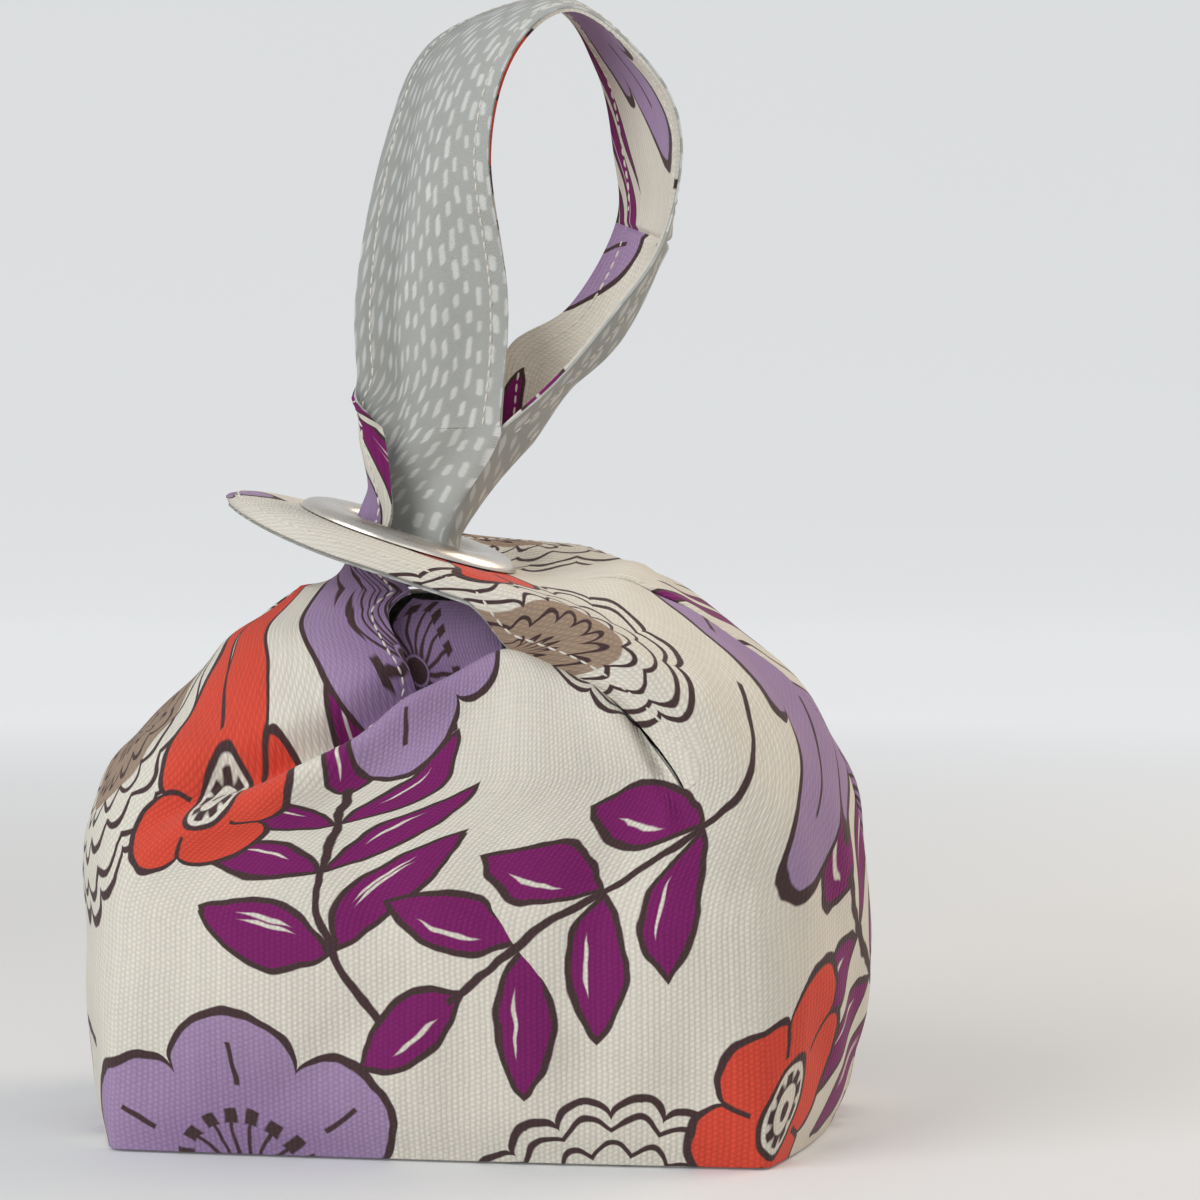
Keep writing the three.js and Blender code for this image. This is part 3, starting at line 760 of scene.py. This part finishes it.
def floral_print(w, x, y):
    """The printed motifs, in millimetres across and up."""
    colour = CREAM

    # Plum sprigs.
    for middle, turn, length in (((37, 146), 64, 54), ((143, 45), -38, 50)):
        own_x, own_y = from_middle(w, x, y, middle, turn)
        leaves, stem, glints = sprig(w, own_x, own_y, length, 26.0, 40.0, 8.2)
        colour = w.over(colour, PLUM, w.inside(leaves))
        colour = w.over(colour, CREAM, w.inside(glints))
        colour = w.over(colour, INK, w.inside(w.lower(abs(leaves + 0.2) - 0.95, stem)))

    # Blossom drawn in ink, with rows of small petals and a tan middle.
    outside, angle, away = round_blossom(w, *from_middle(w, x, y, (138, 134), 10), 43.0, 16, 0.1)
    colour = w.over(colour, CREAM, w.inside(outside))
    row = w.math("FLOOR", away * (1 / 8.0))
    odd = w.math("MODULO", row, 2.0) * (math.pi / 16)
    scallop = abs(w.math("COSINE", (angle + odd) * 8.0))
    rim = w.math("MODULO", away, 8.0) - (scallop * 3.8 + 2.6)
    colour = w.over(colour, TAN, w.inside(away - 18.5) * 0.85)
    colour = w.over(colour, INK, w.inside(w.higher(abs(rim) - 0.9, outside)))
    colour = w.over(colour, INK, w.inside(abs(outside) - 1.1))

    # Large lavender blossom with a ring of stamens.
    outside, angle, away = round_blossom(w, *from_middle(w, x, y, (52, 57), 25), 47.0, 6, 0.26)
    shade = w.over(LAVENDER, LAVENDER_DEEP, w.ramp(away, 10, 38, 0.55, 0.0))
    colour = w.over(colour, shade, w.inside(outside))
    veins = spokes(w, angle, away, 6, 27.0, 38.0, 0.75)
    stamens = spokes(w, angle + 0.2, away, 17, 5.0, 17.0, 0.6)
    dots = spokes(w, angle + 0.2, away, 17, 16.5, 20.5, 1.7)
    ink = w.lower(w.lower(stamens, dots), w.lower(veins, away - 4.2))
    colour = w.over(colour, INK, w.inside(w.lower(ink, abs(outside) - 1.2)))

    # Coral blossom with a pale, dotted middle.
    outside, angle, away = round_blossom(w, *from_middle(w, x, y, (91, 165), -12), 28.0, 5, 0.32)
    colour = w.over(colour, CORAL, w.inside(outside))
    colour = w.over(colour, CREAM, w.inside(away - 9.6))
    seeds = w.higher(abs(away - 6.2) - 1.3, spokes(w, angle, away, 9, 2.5, 10.0, 1.3))
    ink = w.lower(abs(away - 9.6) - 0.8, w.lower(seeds, away - 2.0))
    ink = w.lower(ink, spokes(w, angle + math.pi / 5, away, 5, 12.5, 21.0, 0.7))
    return w.over(colour, INK, w.inside(w.lower(ink, abs(outside) - 1.1)))


def floral_canvas():
    """Cream cotton canvas with a printed floral repeat, a visible weave and soft wear."""
    w = Wiring("print_canvas")
    place, across, up = w.pattern()
    wobble = w.node("ShaderNodeTexNoise", "Color", Vector=place, Scale=55.0, Detail=2.0)
    shift_x, shift_y = w.nodes_of("ShaderNodeSeparateColor", [0, 1], Color=wobble)
    drawn_x = across + w.ramp(shift_x, 0, 1, -3.2, 3.2)
    drawn_y = up + w.ramp(shift_y, 0, 1, -3.2, 3.2)
    colour = floral_print(w, drawn_x, drawn_y)

    # The weave: upright threads side by side, each crossed over every other weft, so that the
    # crossings of one thread lie between those of the next. The colour is painted darker in its
    # hollows and lighter on its crowns, as shade and light, and the ink is thinner on the high
    # places.
    thread_pitch, weft_pitch = 1.55, 1.45
    uneven = w.ramp(w.noise(place, 200.0, 2.0), 0, 1, -0.22, 0.22)
    column = across * (1 / thread_pitch) + uneven
    number = w.math("FLOOR", column)
    row = up * (1 / weft_pitch) + w.math("MODULO", number, 2.0) * 0.5 + uneven
    rounded = w.math("COSINE", (w.math("FRACT", column) - 0.5) * math.pi)
    crossing = w.ramp(w.math("COSINE", row * (2 * math.pi)), -1, 1, 0.3, 1.0)
    weave = rounded * crossing
    own = w.node("ShaderNodeTexWhiteNoise", "Value", {"noise_dimensions": "1D"}, W=number)
    slub = w.noise(w.stretched(place, (900.0, 90.0, 1.0)), 1.0, 2.0)
    faded = w.ramp(w.noise(place, 18.0, 3.0), 0.3, 0.75, 0.96, 1.02)
    # Painted shade in the weave's hollows and painted light on its crowns, times wear and random
    # tone of the threads.
    tone_and_weave_shade = faded * w.ramp(weave, 0, 1, 0.82, 1.07) * w.ramp(own, 0, 1, 0.975, 1.02)
    tone_and_weave_shade = tone_and_weave_shade * w.ramp(w.noise(place, 420.0, 2.0), 0.2, 0.8, 0.97, 1.03)
    w.bumped(weave + w.ramp(slub, 0, 1, -0.25, 0.25), 0.00016)
    w.soft_cloth(0.12)
    return w.finish(w.dimmed(colour, tone_and_weave_shade), w.ramp(slub, 0, 1, 0.82, 0.95))


def dashed_cotton():
    """Gray lining cotton with short white dashes in staggered columns."""
    w = Wiring("lining_cotton")
    place, across, up = w.pattern()
    spacing, run = 3.3, 8.6
    column = w.math("FLOOR", across * (1 / spacing))
    dice = w.node("ShaderNodeTexWhiteNoise", "Value", {"noise_dimensions": "1D"}, W=column)
    shifted = up * (1 / run) + dice * 5.0
    corner = w.node("ShaderNodeCombineXYZ", 0, X=column, Y=w.math("FLOOR", shifted))
    each = w.node("ShaderNodeTexWhiteNoise", "Color", {"noise_dimensions": "2D"}, Vector=corner)
    slant, size, reach = w.nodes_of("ShaderNodeSeparateColor", [0, 1, 2], Color=each)
    x = w.math("MODULO", across + 3300.0, spacing) - spacing / 2
    y = (w.math("FRACT", shifted) - 0.5) * run
    x = x + y * w.ramp(slant, 0, 1, -0.1, 0.1) + w.ramp(size, 0, 1, -0.55, 0.55)
    past_end = w.higher(abs(y) - w.ramp(reach, 0, 1, 0.9, 2.2), 0.0)
    dash = w.math("SQRT", x * x + past_end * past_end) - w.ramp(size, 0, 1, 0.9, 0.6)
    dash = dash + w.ramp(w.noise(place, 700.0, 2.0), 0, 1, -0.35, 0.35)
    strength = w.ramp(w.noise(corner, 3.7, 1.0), 0.3, 0.7, 0.6, 0.95)
    white = w.inside(dash, 0.42) * strength
    colour = w.over(painted(188, 189, 184), painted(238, 238, 233), white)
    pitch = 0.62
    warp, weft = [w.math("SINE", line * (2 * math.pi / pitch)) for line in (across, up)]
    weave = warp * weft
    cloudy = w.noise(place, 30.0, 3.0)
    # The colour follows the weave a little, darker where its threads dip: painted shade. The clouds
    # are random tone.
    tone_and_weave_shade = w.ramp(weave, -1, 1, 0.95, 1.02) * w.ramp(cloudy, 0.3, 0.7, 0.95, 1.03)
    w.bumped(weave * 0.4 + w.noise(place, 120.0, 3.0) * 1.2, 0.00015)
    w.soft_cloth(0.1)
    return w.finish(w.dimmed(colour, tone_and_weave_shade), w.ramp(cloudy, 0, 1, 0.85, 0.95))


def satin_nickel():
    """Plated metal with a fine satin grain and a few hairline scratches."""
    w = Wiring("grommet_metal")
    place = w.on_object()
    satin = w.noise(place, 2600.0, 3.0)
    scratch = w.noise(w.stretched(place, (240.0, 3000.0, 900.0)), 1.0, 2.0)
    cloud = w.ramp(w.noise(place, 60.0, 3.0), 0.35, 0.65)
    w.sets(Metallic=1.0)
    w.bumped(satin * 0.4 + scratch * 0.6, 0.00003)
    tone = w.over(painted(214, 208, 198), painted(196, 190, 182), cloud)
    return w.finish(tone, w.ramp(satin, 0.2, 0.8, 0.24, 0.36))


def sewing_thread():
    """Off-white cotton thread with its twist."""
    w = Wiring("sewing_thread")
    place = w.on_object()
    twist = w.node(
        "ShaderNodeTexWave", "Fac", {"wave_type": "BANDS", "bands_direction": "DIAGONAL"},
        Vector=place, Scale=900.0, Distortion=1.0,
    )
    fluff = w.noise(place, 4000.0, 2.0)
    w.bumped(twist + fluff * 0.5, 0.00005)
    w.sets(Specular_IOR_Level=0.3)
    # Darker along the grooves of the twist and lighter on its ridges: painted shade and light.
    colour = w.over(painted(226, 217, 204), painted(243, 237, 228), twist)
    return w.finish(colour, w.ramp(fluff, 0, 1, 0.6, 0.8))


def fusible():
    """Pressed fibres of the non-woven interfacing."""
    w = Wiring("interfacing_fibres")
    fibres = w.noise(w.stretched(w.on_object(), (500.0, 2400.0, 500.0)), 1.0)
    w.bumped(fibres, 0.00008)
    colour = w.over(painted(232, 229, 220), painted(246, 244, 238), fibres)
    return w.finish(colour, w.ramp(fibres, 0, 1, 0.85, 0.97))


def pale_floor():
    """A plain pale ground. The camera and the metal see it a little lighter than it lights the bag.
    Far out it takes less of the lamps' light, so that it stays even below them."""
    w = Wiring("floor_pale")
    place = w.on_object()
    cloud = w.noise(place, 4.0, 2.0)
    colour = w.over((0.7, 0.71, 0.71), (0.73, 0.73, 0.73), cloud)
    rays = ["Is Camera Ray", "Is Glossy Ray", "Is Transmission Ray"]
    camera_ray, glossy_ray, clear_ray = w.nodes_of("ShaderNodeLightPath", rays)
    seen = w.higher(w.higher(camera_ray, glossy_ray), clear_ray)
    near, far = 0.45, 1.4
    away = w.node("ShaderNodeVectorMath", "Value", {"operation": "LENGTH"}, Vector=place)
    glow = seen * w.ramp(away, near, far, 0.1, 0.68)
    w.sets(Emission_Strength=glow, Emission_Color=(0.96, 0.98, 1.0))
    colour = w.dimmed(colour, w.ramp(away, near, far, 1.0, 0.16))
    return w.finish(colour, w.ramp(cloud, 0, 1, 0.6, 0.7))


print_canvas = floral_canvas()
lining_cotton = dashed_cotton()
metal = satin_nickel()
thread = sewing_thread()
fibres = fusible()

# ---------------------------------------------------------------- build the bag

# Rows of the wall, and the columns of its parts: beside the flap, the front, and below the tongue.
rise = np.concatenate([
    [0.004, 0.012], np.linspace(0.03, 0.5, 34), np.linspace(0.5, 1.0, 64)[1:],
])
TURNS = [np.linspace(0, 0.62, 48), np.linspace(0.62, 1.5, 84), np.linspace(1.5, 2, 60)]
PARTS = ["side", "front", "left"]
BASE_ROWS, BASE_INSET = 14, 0.8
BELLY_ROW = BASE_ROWS + 20
FLAP_ROWS, FLAP_COLUMNS, TONGUE_ROWS = 90, 46, 44


def with_base(wall):
    """Adds half of the base below a wall grid: rows from the seam in the middle to the edge."""
    edge = wall[0].copy()
    edge[:, 2] = 0
    inset = edge - unit(np.stack([edge[:, 0] * 0.3, edge[:, 1], edge[:, 2]], axis=1)) * BASE_INSET
    right, left = ring(LEVELS[0], np.array([0.0, 2.0]))[:, 0] + np.array([-BASE_INSET, BASE_INSET])
    facing = np.cos(np.arctan2(np.abs(inset[:, 1]), inset[:, 0]))
    seam_line = inset * 0
    seam_line[:, 0] = np.where(facing > 0, facing * right, -facing * left)
    out = np.linspace(0, 1, BASE_ROWS)[:, None, None]
    return np.concatenate([seam_line + (inset - seam_line) * out, wall])


def panel(turns, parts, seed, cut_from):
    """The grids of one wall panel with its half of the base and its pattern coordinates."""
    full = np.concatenate(turns)
    middle = int(np.argmin(np.abs(full - (1 if full[0] < 2 else 3))))
    uncut = smooth_wall(np.tile(full, len(rise)), np.repeat(rise, len(full)))
    uncut = with_base(uncut.reshape(len(rise), -1, 3))
    print_table = lay_flat(uncut, middle, BELLY_ROW) + np.array(cut_from)
    grids = []
    start = 0
    for turn, part in zip(turns, parts):
        points, inwards, places = wall_grid(turn, rise, part, seed)
        columns = points.shape[1]
        pattern = print_table[:, start:start + columns].copy()
        for column, at in enumerate(places.T):
            pattern[BASE_ROWS:, column] = at_lengths(at, rise, pattern[BASE_ROWS:, column])
        upwards = np.broadcast_to(np.array([0.0, 0.0, 1.0]), (BASE_ROWS, columns, 3))
        grids.append((with_base(points), pattern, np.concatenate([upwards, inwards])))
        start += columns
    return grids


def lifts_with_flap(piece):
    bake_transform(piece)


def bends_at_neck(piece):
    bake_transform(piece)


def leans_with_loop(piece):
    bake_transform(piece)


def rides_on_bag(piece):
    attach(piece, "bag")


def sewn(name, follow, printed, lined, lining=LINING, hole=0, also=()):
    """The canvas and the lining of one part of the bag, in place of its solids."""
    pair = []
    for cloth_name, solid, grids, layer, slot, finish in (
        ("canvas", "outer", printed, CANVAS, "print_canvas", print_canvas),
        ("cotton", "lining", lined, lining, "lining_cotton", lining_cotton),
    ):
        piece = cloth(f"{cloth_name}_{name}", grids, layer, finish, hole)
        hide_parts(*[f"{solid}_{node}" for node in (name, *also)])
        follow(piece)
        pair.append(piece)
    return pair


front_grids = panel(TURNS, PARTS, 3, (0, 0))
back_grids = panel([4 - turn[::-1] for turn in TURNS[::-1]], PARTS[::-1], 5, (83, 51))
canvas_front, lining_front = sewn("front_panel", rides_on_bag, front_grids, front_grids)
canvas_back, lining_back = sewn("back_panel", rides_on_bag, back_grids, back_grids)

def print_runs_on(grid, start):
    """Pattern coordinates that go on from those of an edge, measured along the cloth."""
    across = np.broadcast_to(start[:, 0], grid.shape[:2])
    return np.stack([across, start[:, 1] + lengths_along(grid, 0)], axis=2)


def flap_half(side, wall, wall_print, wider):
    """Half of the flap, with its print. It starts on the wall's top edge, along the wall's slope,
    and its print runs on from the wall's."""
    shares = np.linspace(0, 1, FLAP_COLUMNS)
    edge = wall[-1][::-side]
    leaving = even_shares(edge, shares, unit(wall[-1] - wall[-2])[::-side])
    grid = flap_grid(shares * wider, FLAP_ROWS, side, even_shares(edge, shares), leaving)
    start = even_shares(edge, shares, wall_print[-1][::-side])
    pattern = print_runs_on(grid, start)
    from_middle_line = np.sign(start[-1, 0] - start[0, 0]) * lengths_along(grid, 1)
    freed = ease(lengths_along(grid, 0), 0, 45)
    pattern[:, :, 0] = pattern[:, :, 0] * (1 - freed) + (start[0, 0] + from_middle_line) * freed
    return grid[:, ::-side], pattern[:, ::-side]


# The flap. Its lining is cut a little wider, to follow the rolled edge below the canvas.
flap_canvas_halves, flap_lining_halves = [
    [flap_half(-1, *front_grids[0][:2], wider), flap_half(1, *back_grids[2][:2], wider)]
    for wider in (1.0, 1.018)
]
canvas_flap, lining_flap = sewn(
    "flap", lifts_with_flap, flap_canvas_halves, flap_lining_halves, FLAP_LINING, FLAP_HOLE
)

# Tongue: front half, then back half. It sets out along the wall's last eight rows.
left_front, left_front_print = front_grids[2][:2]
left_back, left_back_print = back_grids[0][:2]
tongue_top = np.concatenate([left_front[-1], left_back[-1][1:]])
tongue_below = np.concatenate([left_front[-9], left_back[-9][1:]])
columns = len(tongue_top)
half = columns // 2
tongue = tongue_grid(np.linspace(0, 1, columns), TONGUE_ROWS, tongue_below, tongue_top)
tongue_inwards = lining_side(tongue)
tongue_front_print = print_runs_on(tongue[:, :half + 1], left_front_print[-1])
tongue_back_print = print_runs_on(tongue[:, half:], left_back_print[-1])

# Straps: the front one runs on from the tongue's front half, the back one from its back half, and
# a bulky seam joins the two. Rows lie closer together near the seam.
across = np.linspace(0, 1, half + 1)
seam = SEAM_STATION / (len(STRAP_STATIONS) - 1)
NEAR_SEAM = 0.02, 0.03
strap_front = strap_grid(across, np.concatenate([
    np.linspace(0, seam - NEAR_SEAM[0], 140), np.linspace(seam - NEAR_SEAM[0], seam, 16)[1:],
]))
strap_back = strap_grid(across, np.concatenate([
    np.linspace(seam, seam + NEAR_SEAM[1], 16), np.linspace(seam + NEAR_SEAM[1], 1, 60)[1:],
]))
strap_front_print = print_runs_on(strap_front, tongue_front_print[-1])
strap_back_print = print_runs_on(strap_back[::-1], tongue_back_print[-1][::-1])[::-1]
front_run = lining_side(np.concatenate([tongue[:, :half + 1], strap_front[1:]]))
back_run = lining_side(np.concatenate([tongue[:, half:], strap_back[::-1, ::-1][1:]]))
strap_front_inwards = front_run[len(tongue) - 1:]
strap_back_inwards = back_run[len(tongue) - 1:][::-1, ::-1]
tongue_inwards[-1, :half + 1] = front_run[len(tongue) - 1]
tongue_inwards[-1, half + 1:] = back_run[len(tongue) - 1, 1:]
tongue_halves = [
    (tongue[:, :half + 1], tongue_front_print, tongue_inwards[:, :half + 1]),
    (tongue[:, half:], tongue_back_print, tongue_inwards[:, half:]),
]
canvas_tongue, lining_tongue = sewn(
    "tongue", bends_at_neck, tongue_halves, tongue_halves, also=["neck"]
)


def seamed(grid, flat, inwards, from_seam):
    """The two faces of a strap, thicker over the turned-in edges of the seam and dipping along its
    line. They stay together at the strap's own edges."""
    bulk, dip = 1.0, 1.4
    ridge = bulk * bell(from_seam, 0, 5.0) - dip * bell(from_seam, 0, 0.9)
    closed = ease(across, 0, 0.16) * ease(1 - across, 0, 0.16)
    thicker = inwards * (ridge * closed)[:, :, None]
    return [(grid - thicker, flat, inwards)], [(grid + thicker, flat, inwards)]


canvas_strap_front, lining_strap_front = sewn("front_strap", leans_with_loop, *seamed(
    strap_front, strap_front_print, strap_front_inwards,
    lengths_along(strap_front[::-1], 0)[::-1],
))
canvas_strap_back, lining_strap_back = sewn("back_strap", leans_with_loop, *seamed(
    strap_back, strap_back_print, strap_back_inwards, lengths_along(strap_back, 0),
))

# The interfacing keeps its solid and gets its fibres.
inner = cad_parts["flap_interfacing"]
inner.data.materials.clear()
inner.data.materials.append(fibres)


def turned_ring(name, outline):
    """A metal ring: the last loop is bridged to the first, and the ring is set in the flap."""
    ring_piece = extruded_ring(name, outline, MM)
    bpy.ops.mesh.select_all(action="DESELECT")
    bpy.ops.mesh.select_non_manifold()
    bpy.ops.mesh.bridge_edge_loops()
    bpy.ops.mesh.select_all(action="SELECT")
    bpy.ops.mesh.normals_make_consistent(inside=False)
    bpy.ops.object.mode_set(mode="OBJECT")
    ring_piece.data.transform(
        Matrix.Translation(Vector(GROMMET * MM)) @ Matrix.Rotation(math.atan(TILT), 4, "Y")
    )
    ring_piece.data.materials.append(metal)
    smooth_by_angle(ring_piece, 40)
    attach(ring_piece, "flap")
    return ring_piece


cap = turned_ring("grommet_face", [
    (20.3, -6.2), (20.05, -5.9), (20.0, -5.2), (20.0, 0.7), (20.15, 1.5), (20.6, 2.25),
    (21.4, 2.85), (22.6, 3.3), (24.2, 3.6), (26.0, 3.7), (27.8, 3.55), (29.4, 3.1),
    (30.7, 2.4), (31.5, 1.65), (31.9, 0.95), (32.0, 0.5), (31.8, 0.32), (31.2, 0.3),
    (22.4, 0.3), (21.7, 0.2), (21.5, 0.0),
    (21.5, -5.5), (22.15, -5.65), (22.1, -5.85), (21.5, -6.25), (20.7, -6.3),
])
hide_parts("grommet_cap")
back_ring = turned_ring("grommet_back", [
    (21.85, -3.0), (22.2, -2.92), (31.5, -2.92), (31.9, -3.05), (32.0, -3.4), (31.7, -4.2),
    (31.0, -4.85), (30.0, -5.2), (28.6, -5.3), (25.0, -5.3), (23.4, -5.1), (22.5, -4.7),
    (21.95, -4.2), (21.85, -3.6),
])
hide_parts("grommet_back_ring")


# ---------------------------------------------------------------- topstitching

# Half sizes of a stitch, how far its ends dip, and how high it lies on the cloth.
STITCH_SIZE, STITCH_DIP, STITCH_LIFT = (1.35, 0.34, 0.3), 0.25, 0.12
# From one stitch to the next, and from the line to the cloth's edge.
STITCH_SPACING, STITCH_INSET = 3.3, 4.6


def one_stitch():
    """A single stitch, modelled once: a short rounded thread that dips at its ends."""
    bpy.ops.object.select_all(action="DESELECT")
    bpy.ops.mesh.primitive_uv_sphere_add(
        segments=6, ring_count=5, radius=1, rotation=(0, math.pi / 2, 0)
    )
    item = bpy.context.active_object
    bpy.ops.object.transform_apply(location=True, rotation=True, scale=True)
    bpy.ops.object.mode_set(mode="EDIT")
    bpy.ops.mesh.select_all(action="SELECT")
    bpy.ops.transform.resize(value=STITCH_SIZE)
    bpy.ops.object.mode_set(mode="OBJECT")
    points = np.array([tuple(vertex.co) for vertex in item.data.vertices])
    faces = [tuple(face.vertices) for face in item.data.polygons]
    bpy.data.objects.remove(item)
    points[:, 2] -= STITCH_DIP * (points[:, 0] / STITCH_SIZE[0]) ** 2
    return points, faces


STITCH_POINTS, STITCH_FACES = one_stitch()


def on_grid(grid, rows, places):
    """Points of a grid between its rows and columns."""
    rows = np.clip(rows, 0, grid.shape[0] - 1.001)
    places = np.clip(places, 0, grid.shape[1] - 1.001)
    row, column = rows.astype(int), places.astype(int)
    up, side = (rows - row)[:, None], (places - column)[:, None]
    low = grid[row, column] * (1 - side) + grid[row, column + 1] * side
    high = grid[row + 1, column] * (1 - side) + grid[row + 1, column + 1] * side
    return low * (1 - up) + high * up


def stitch_lines(name, lines, follow):
    """Rows of stitches in one piece. Each line has points on the cloth and directions out of it."""
    points, faces = [], []
    for line, outwards in lines:
        length = line_lengths(line)
        count = max(2, int(round(length[-1] / STITCH_SPACING)))
        for middle in (np.arange(count) + 0.5) * length[-1] / count:
            behind, place, ahead = at_lengths(middle + np.array([-1, 0, 1]), length, line)
            along = unit(ahead - behind)
            out = at_lengths(middle, length, outwards)
            out = unit(out - along * np.dot(out, along))
            turned = STITCH_POINTS @ np.stack([along, np.cross(out, along), out])
            start = len(points) * len(STITCH_POINTS)
            points.append((place + out * STITCH_LIFT + turned) * MM)
            faces += [tuple(corner + start for corner in face) for face in STITCH_FACES]
    piece = new_piece(name, points, faces, thread)
    smooth_by_angle(piece, 60)
    follow(piece)
    return piece


def both_faces(grid, inwards, rows, places, lining=LINING):
    """The same line on the printed face and on the lining face."""
    line = on_grid(grid, rows, places)
    into = unit(on_grid(inwards, rows, places))
    return [(line, -into), (line + into * lining[1], into)]


def edge_lines(grid, inwards, inset):
    """Lines along both edges of a strip of cloth, a share of its width inside them."""
    rows = np.linspace(0, grid.shape[0] - 1, 400)
    lines = []
    for share in (inset, 1 - inset):
        places = np.full_like(rows, share * (grid.shape[1] - 1))
        lines += both_faces(grid, inwards, rows, places)
    return lines


def flap_stitch_lines():
    """One line that stays a few millimetres inside the flap's free edge, front, tip and back."""
    lines = []
    inset = STITCH_INSET
    for side, (grid, _) in zip((-1, 1), flap_canvas_halves):
        grid = grid[:, ::-side]
        xs = FLAP_ROOT - (FLAP_LENGTH - inset) * np.sin(np.linspace(0.02, math.pi / 2, 300))
        tip = np.clip((GROMMET[0] - xs) / FLAP_TIP, 0, 1)
        inner_tip = np.clip((GROMMET[0] - xs) / (FLAP_TIP - inset), 0, 1)
        wide = 46 + (12 * ease(xs, 0, 20) if side < 0 else 0)
        share = (wide - inset) * np.sqrt(np.maximum(0, 1 - inner_tip ** FLAP_SQUARENESS))
        share = share / (wide * np.sqrt(np.maximum(1e-4, 1 - tip ** FLAP_SQUARENESS)))
        rows = (FLAP_ROOT - xs) / FLAP_LENGTH * (grid.shape[0] - 1)
        places = np.clip(share, 0, 1) * (grid.shape[1] - 1)
        lines += both_faces(grid, -side * lining_side(grid), rows, places, FLAP_LINING)
    return lines


def tongue_edge_lines():
    """The tongue's topstitching goes on down the free edges of the bag's left side."""
    lines = []
    first_row = 70
    rows = np.linspace(first_row, BASE_ROWS + len(rise) - 1, 60)
    for (grid, _, into), way in ((front_grids[2], 1), (back_grids[0], -1)):
        grid, into = grid[:, ::way], into[:, ::way]
        away = lengths_along(grid, 1)[rows.astype(int)]
        columns = np.arange(grid.shape[1])
        places = np.array([np.interp(STITCH_INSET, row, columns) for row in away])
        lines += both_faces(grid, into, rows, places)
    return lines


flap_stitches = stitch_lines("flap_topstitching", flap_stitch_lines(), lifts_with_flap)
tongue_lines = edge_lines(tongue, tongue_inwards, 0.055) + tongue_edge_lines()
tongue_stitches = stitch_lines("tongue_topstitching", tongue_lines, bends_at_neck)
front_strap_stitches, back_strap_stitches = [
    stitch_lines(f"{name}_topstitching", edge_lines(grid, inwards, 0.1), leans_with_loop)
    for name, grid, inwards in (
        ("front_strap", strap_front, strap_front_inwards),
        ("back_strap", strap_back, strap_back_inwards),
    )
]

# ---------------------------------------------------------------- floor, light and camera

# A round pale floor that sweeps up on all sides, in metres.
FLOOR_RADIUS, FLOOR_HEIGHT, SWEEP, SWEEP_STEPS, WALL = 2.4, -0.0005, 1.2, 12, 2.0
swept = [
    (FLOOR_RADIUS + SWEEP * math.sin(angle), FLOOR_HEIGHT + SWEEP * (1 - math.cos(angle)))
    for angle in np.linspace(0, math.pi / 2, SWEEP_STEPS + 1)
]
rim, top = swept[-1]
floor = extruded_ring("floor", swept + [(rim, top + WALL)], 1, "NGON")
bpy.ops.mesh.select_all(action="SELECT")
bpy.ops.mesh.flip_normals()
bpy.ops.object.mode_set(mode="OBJECT")
smooth_by_angle(floor, 40)
floor.data.materials.append(pale_floor())


def lamp(name, place, aim, size, power, colour):
    light = bpy.data.lights.new(name, "AREA")
    light.size = size
    light.energy = power
    light.color = colour
    item = bpy.data.objects.new(name, light)
    item.location = place
    item.rotation_euler = (Vector(aim) - Vector(place)).to_track_quat("-Z", "Y").to_euler()
    item.visible_camera = False
    bpy.context.collection.objects.link(item)


lamp("window_left", (-1.1, -1.2, 1.1), (0, 0, 0.12), 1.4, 22, (0.95, 0.98, 1.0))
lamp("warm_right", (1.1, 0.6, 1.0), (0, 0, 0.15), 0.9, 11, (1.0, 0.84, 0.68))
lamp("front_fill", (0.6, -1.6, 0.5), (0, 0, 0.1), 1.4, 5, (1, 1, 1))

world = bpy.data.worlds.new("studio")
world.use_nodes = True
world.node_tree.nodes["Background"].inputs["Color"].default_value = (0.9, 0.92, 0.94, 1)
world.node_tree.nodes["Background"].inputs["Strength"].default_value = 0.6
bpy.context.scene.world = world

camera_data = bpy.data.cameras.new("camera")
camera_data.sensor_width = 36
camera_data.lens = 105
camera = bpy.data.objects.new("camera", camera_data)
camera.location = (0.1736, -0.9791, 0.196)
looks_down = math.atan(170 / 3500)
level = math.cos(looks_down)
aim = Vector((-0.139 * level, 0.990 * level, -math.sin(looks_down)))
camera.rotation_euler = aim.to_track_quat("-Z", "Y").to_euler()
bpy.context.collection.objects.link(camera)
bpy.context.scene.camera = camera
bpy.context.scene.view_settings.view_transform = "Standard"
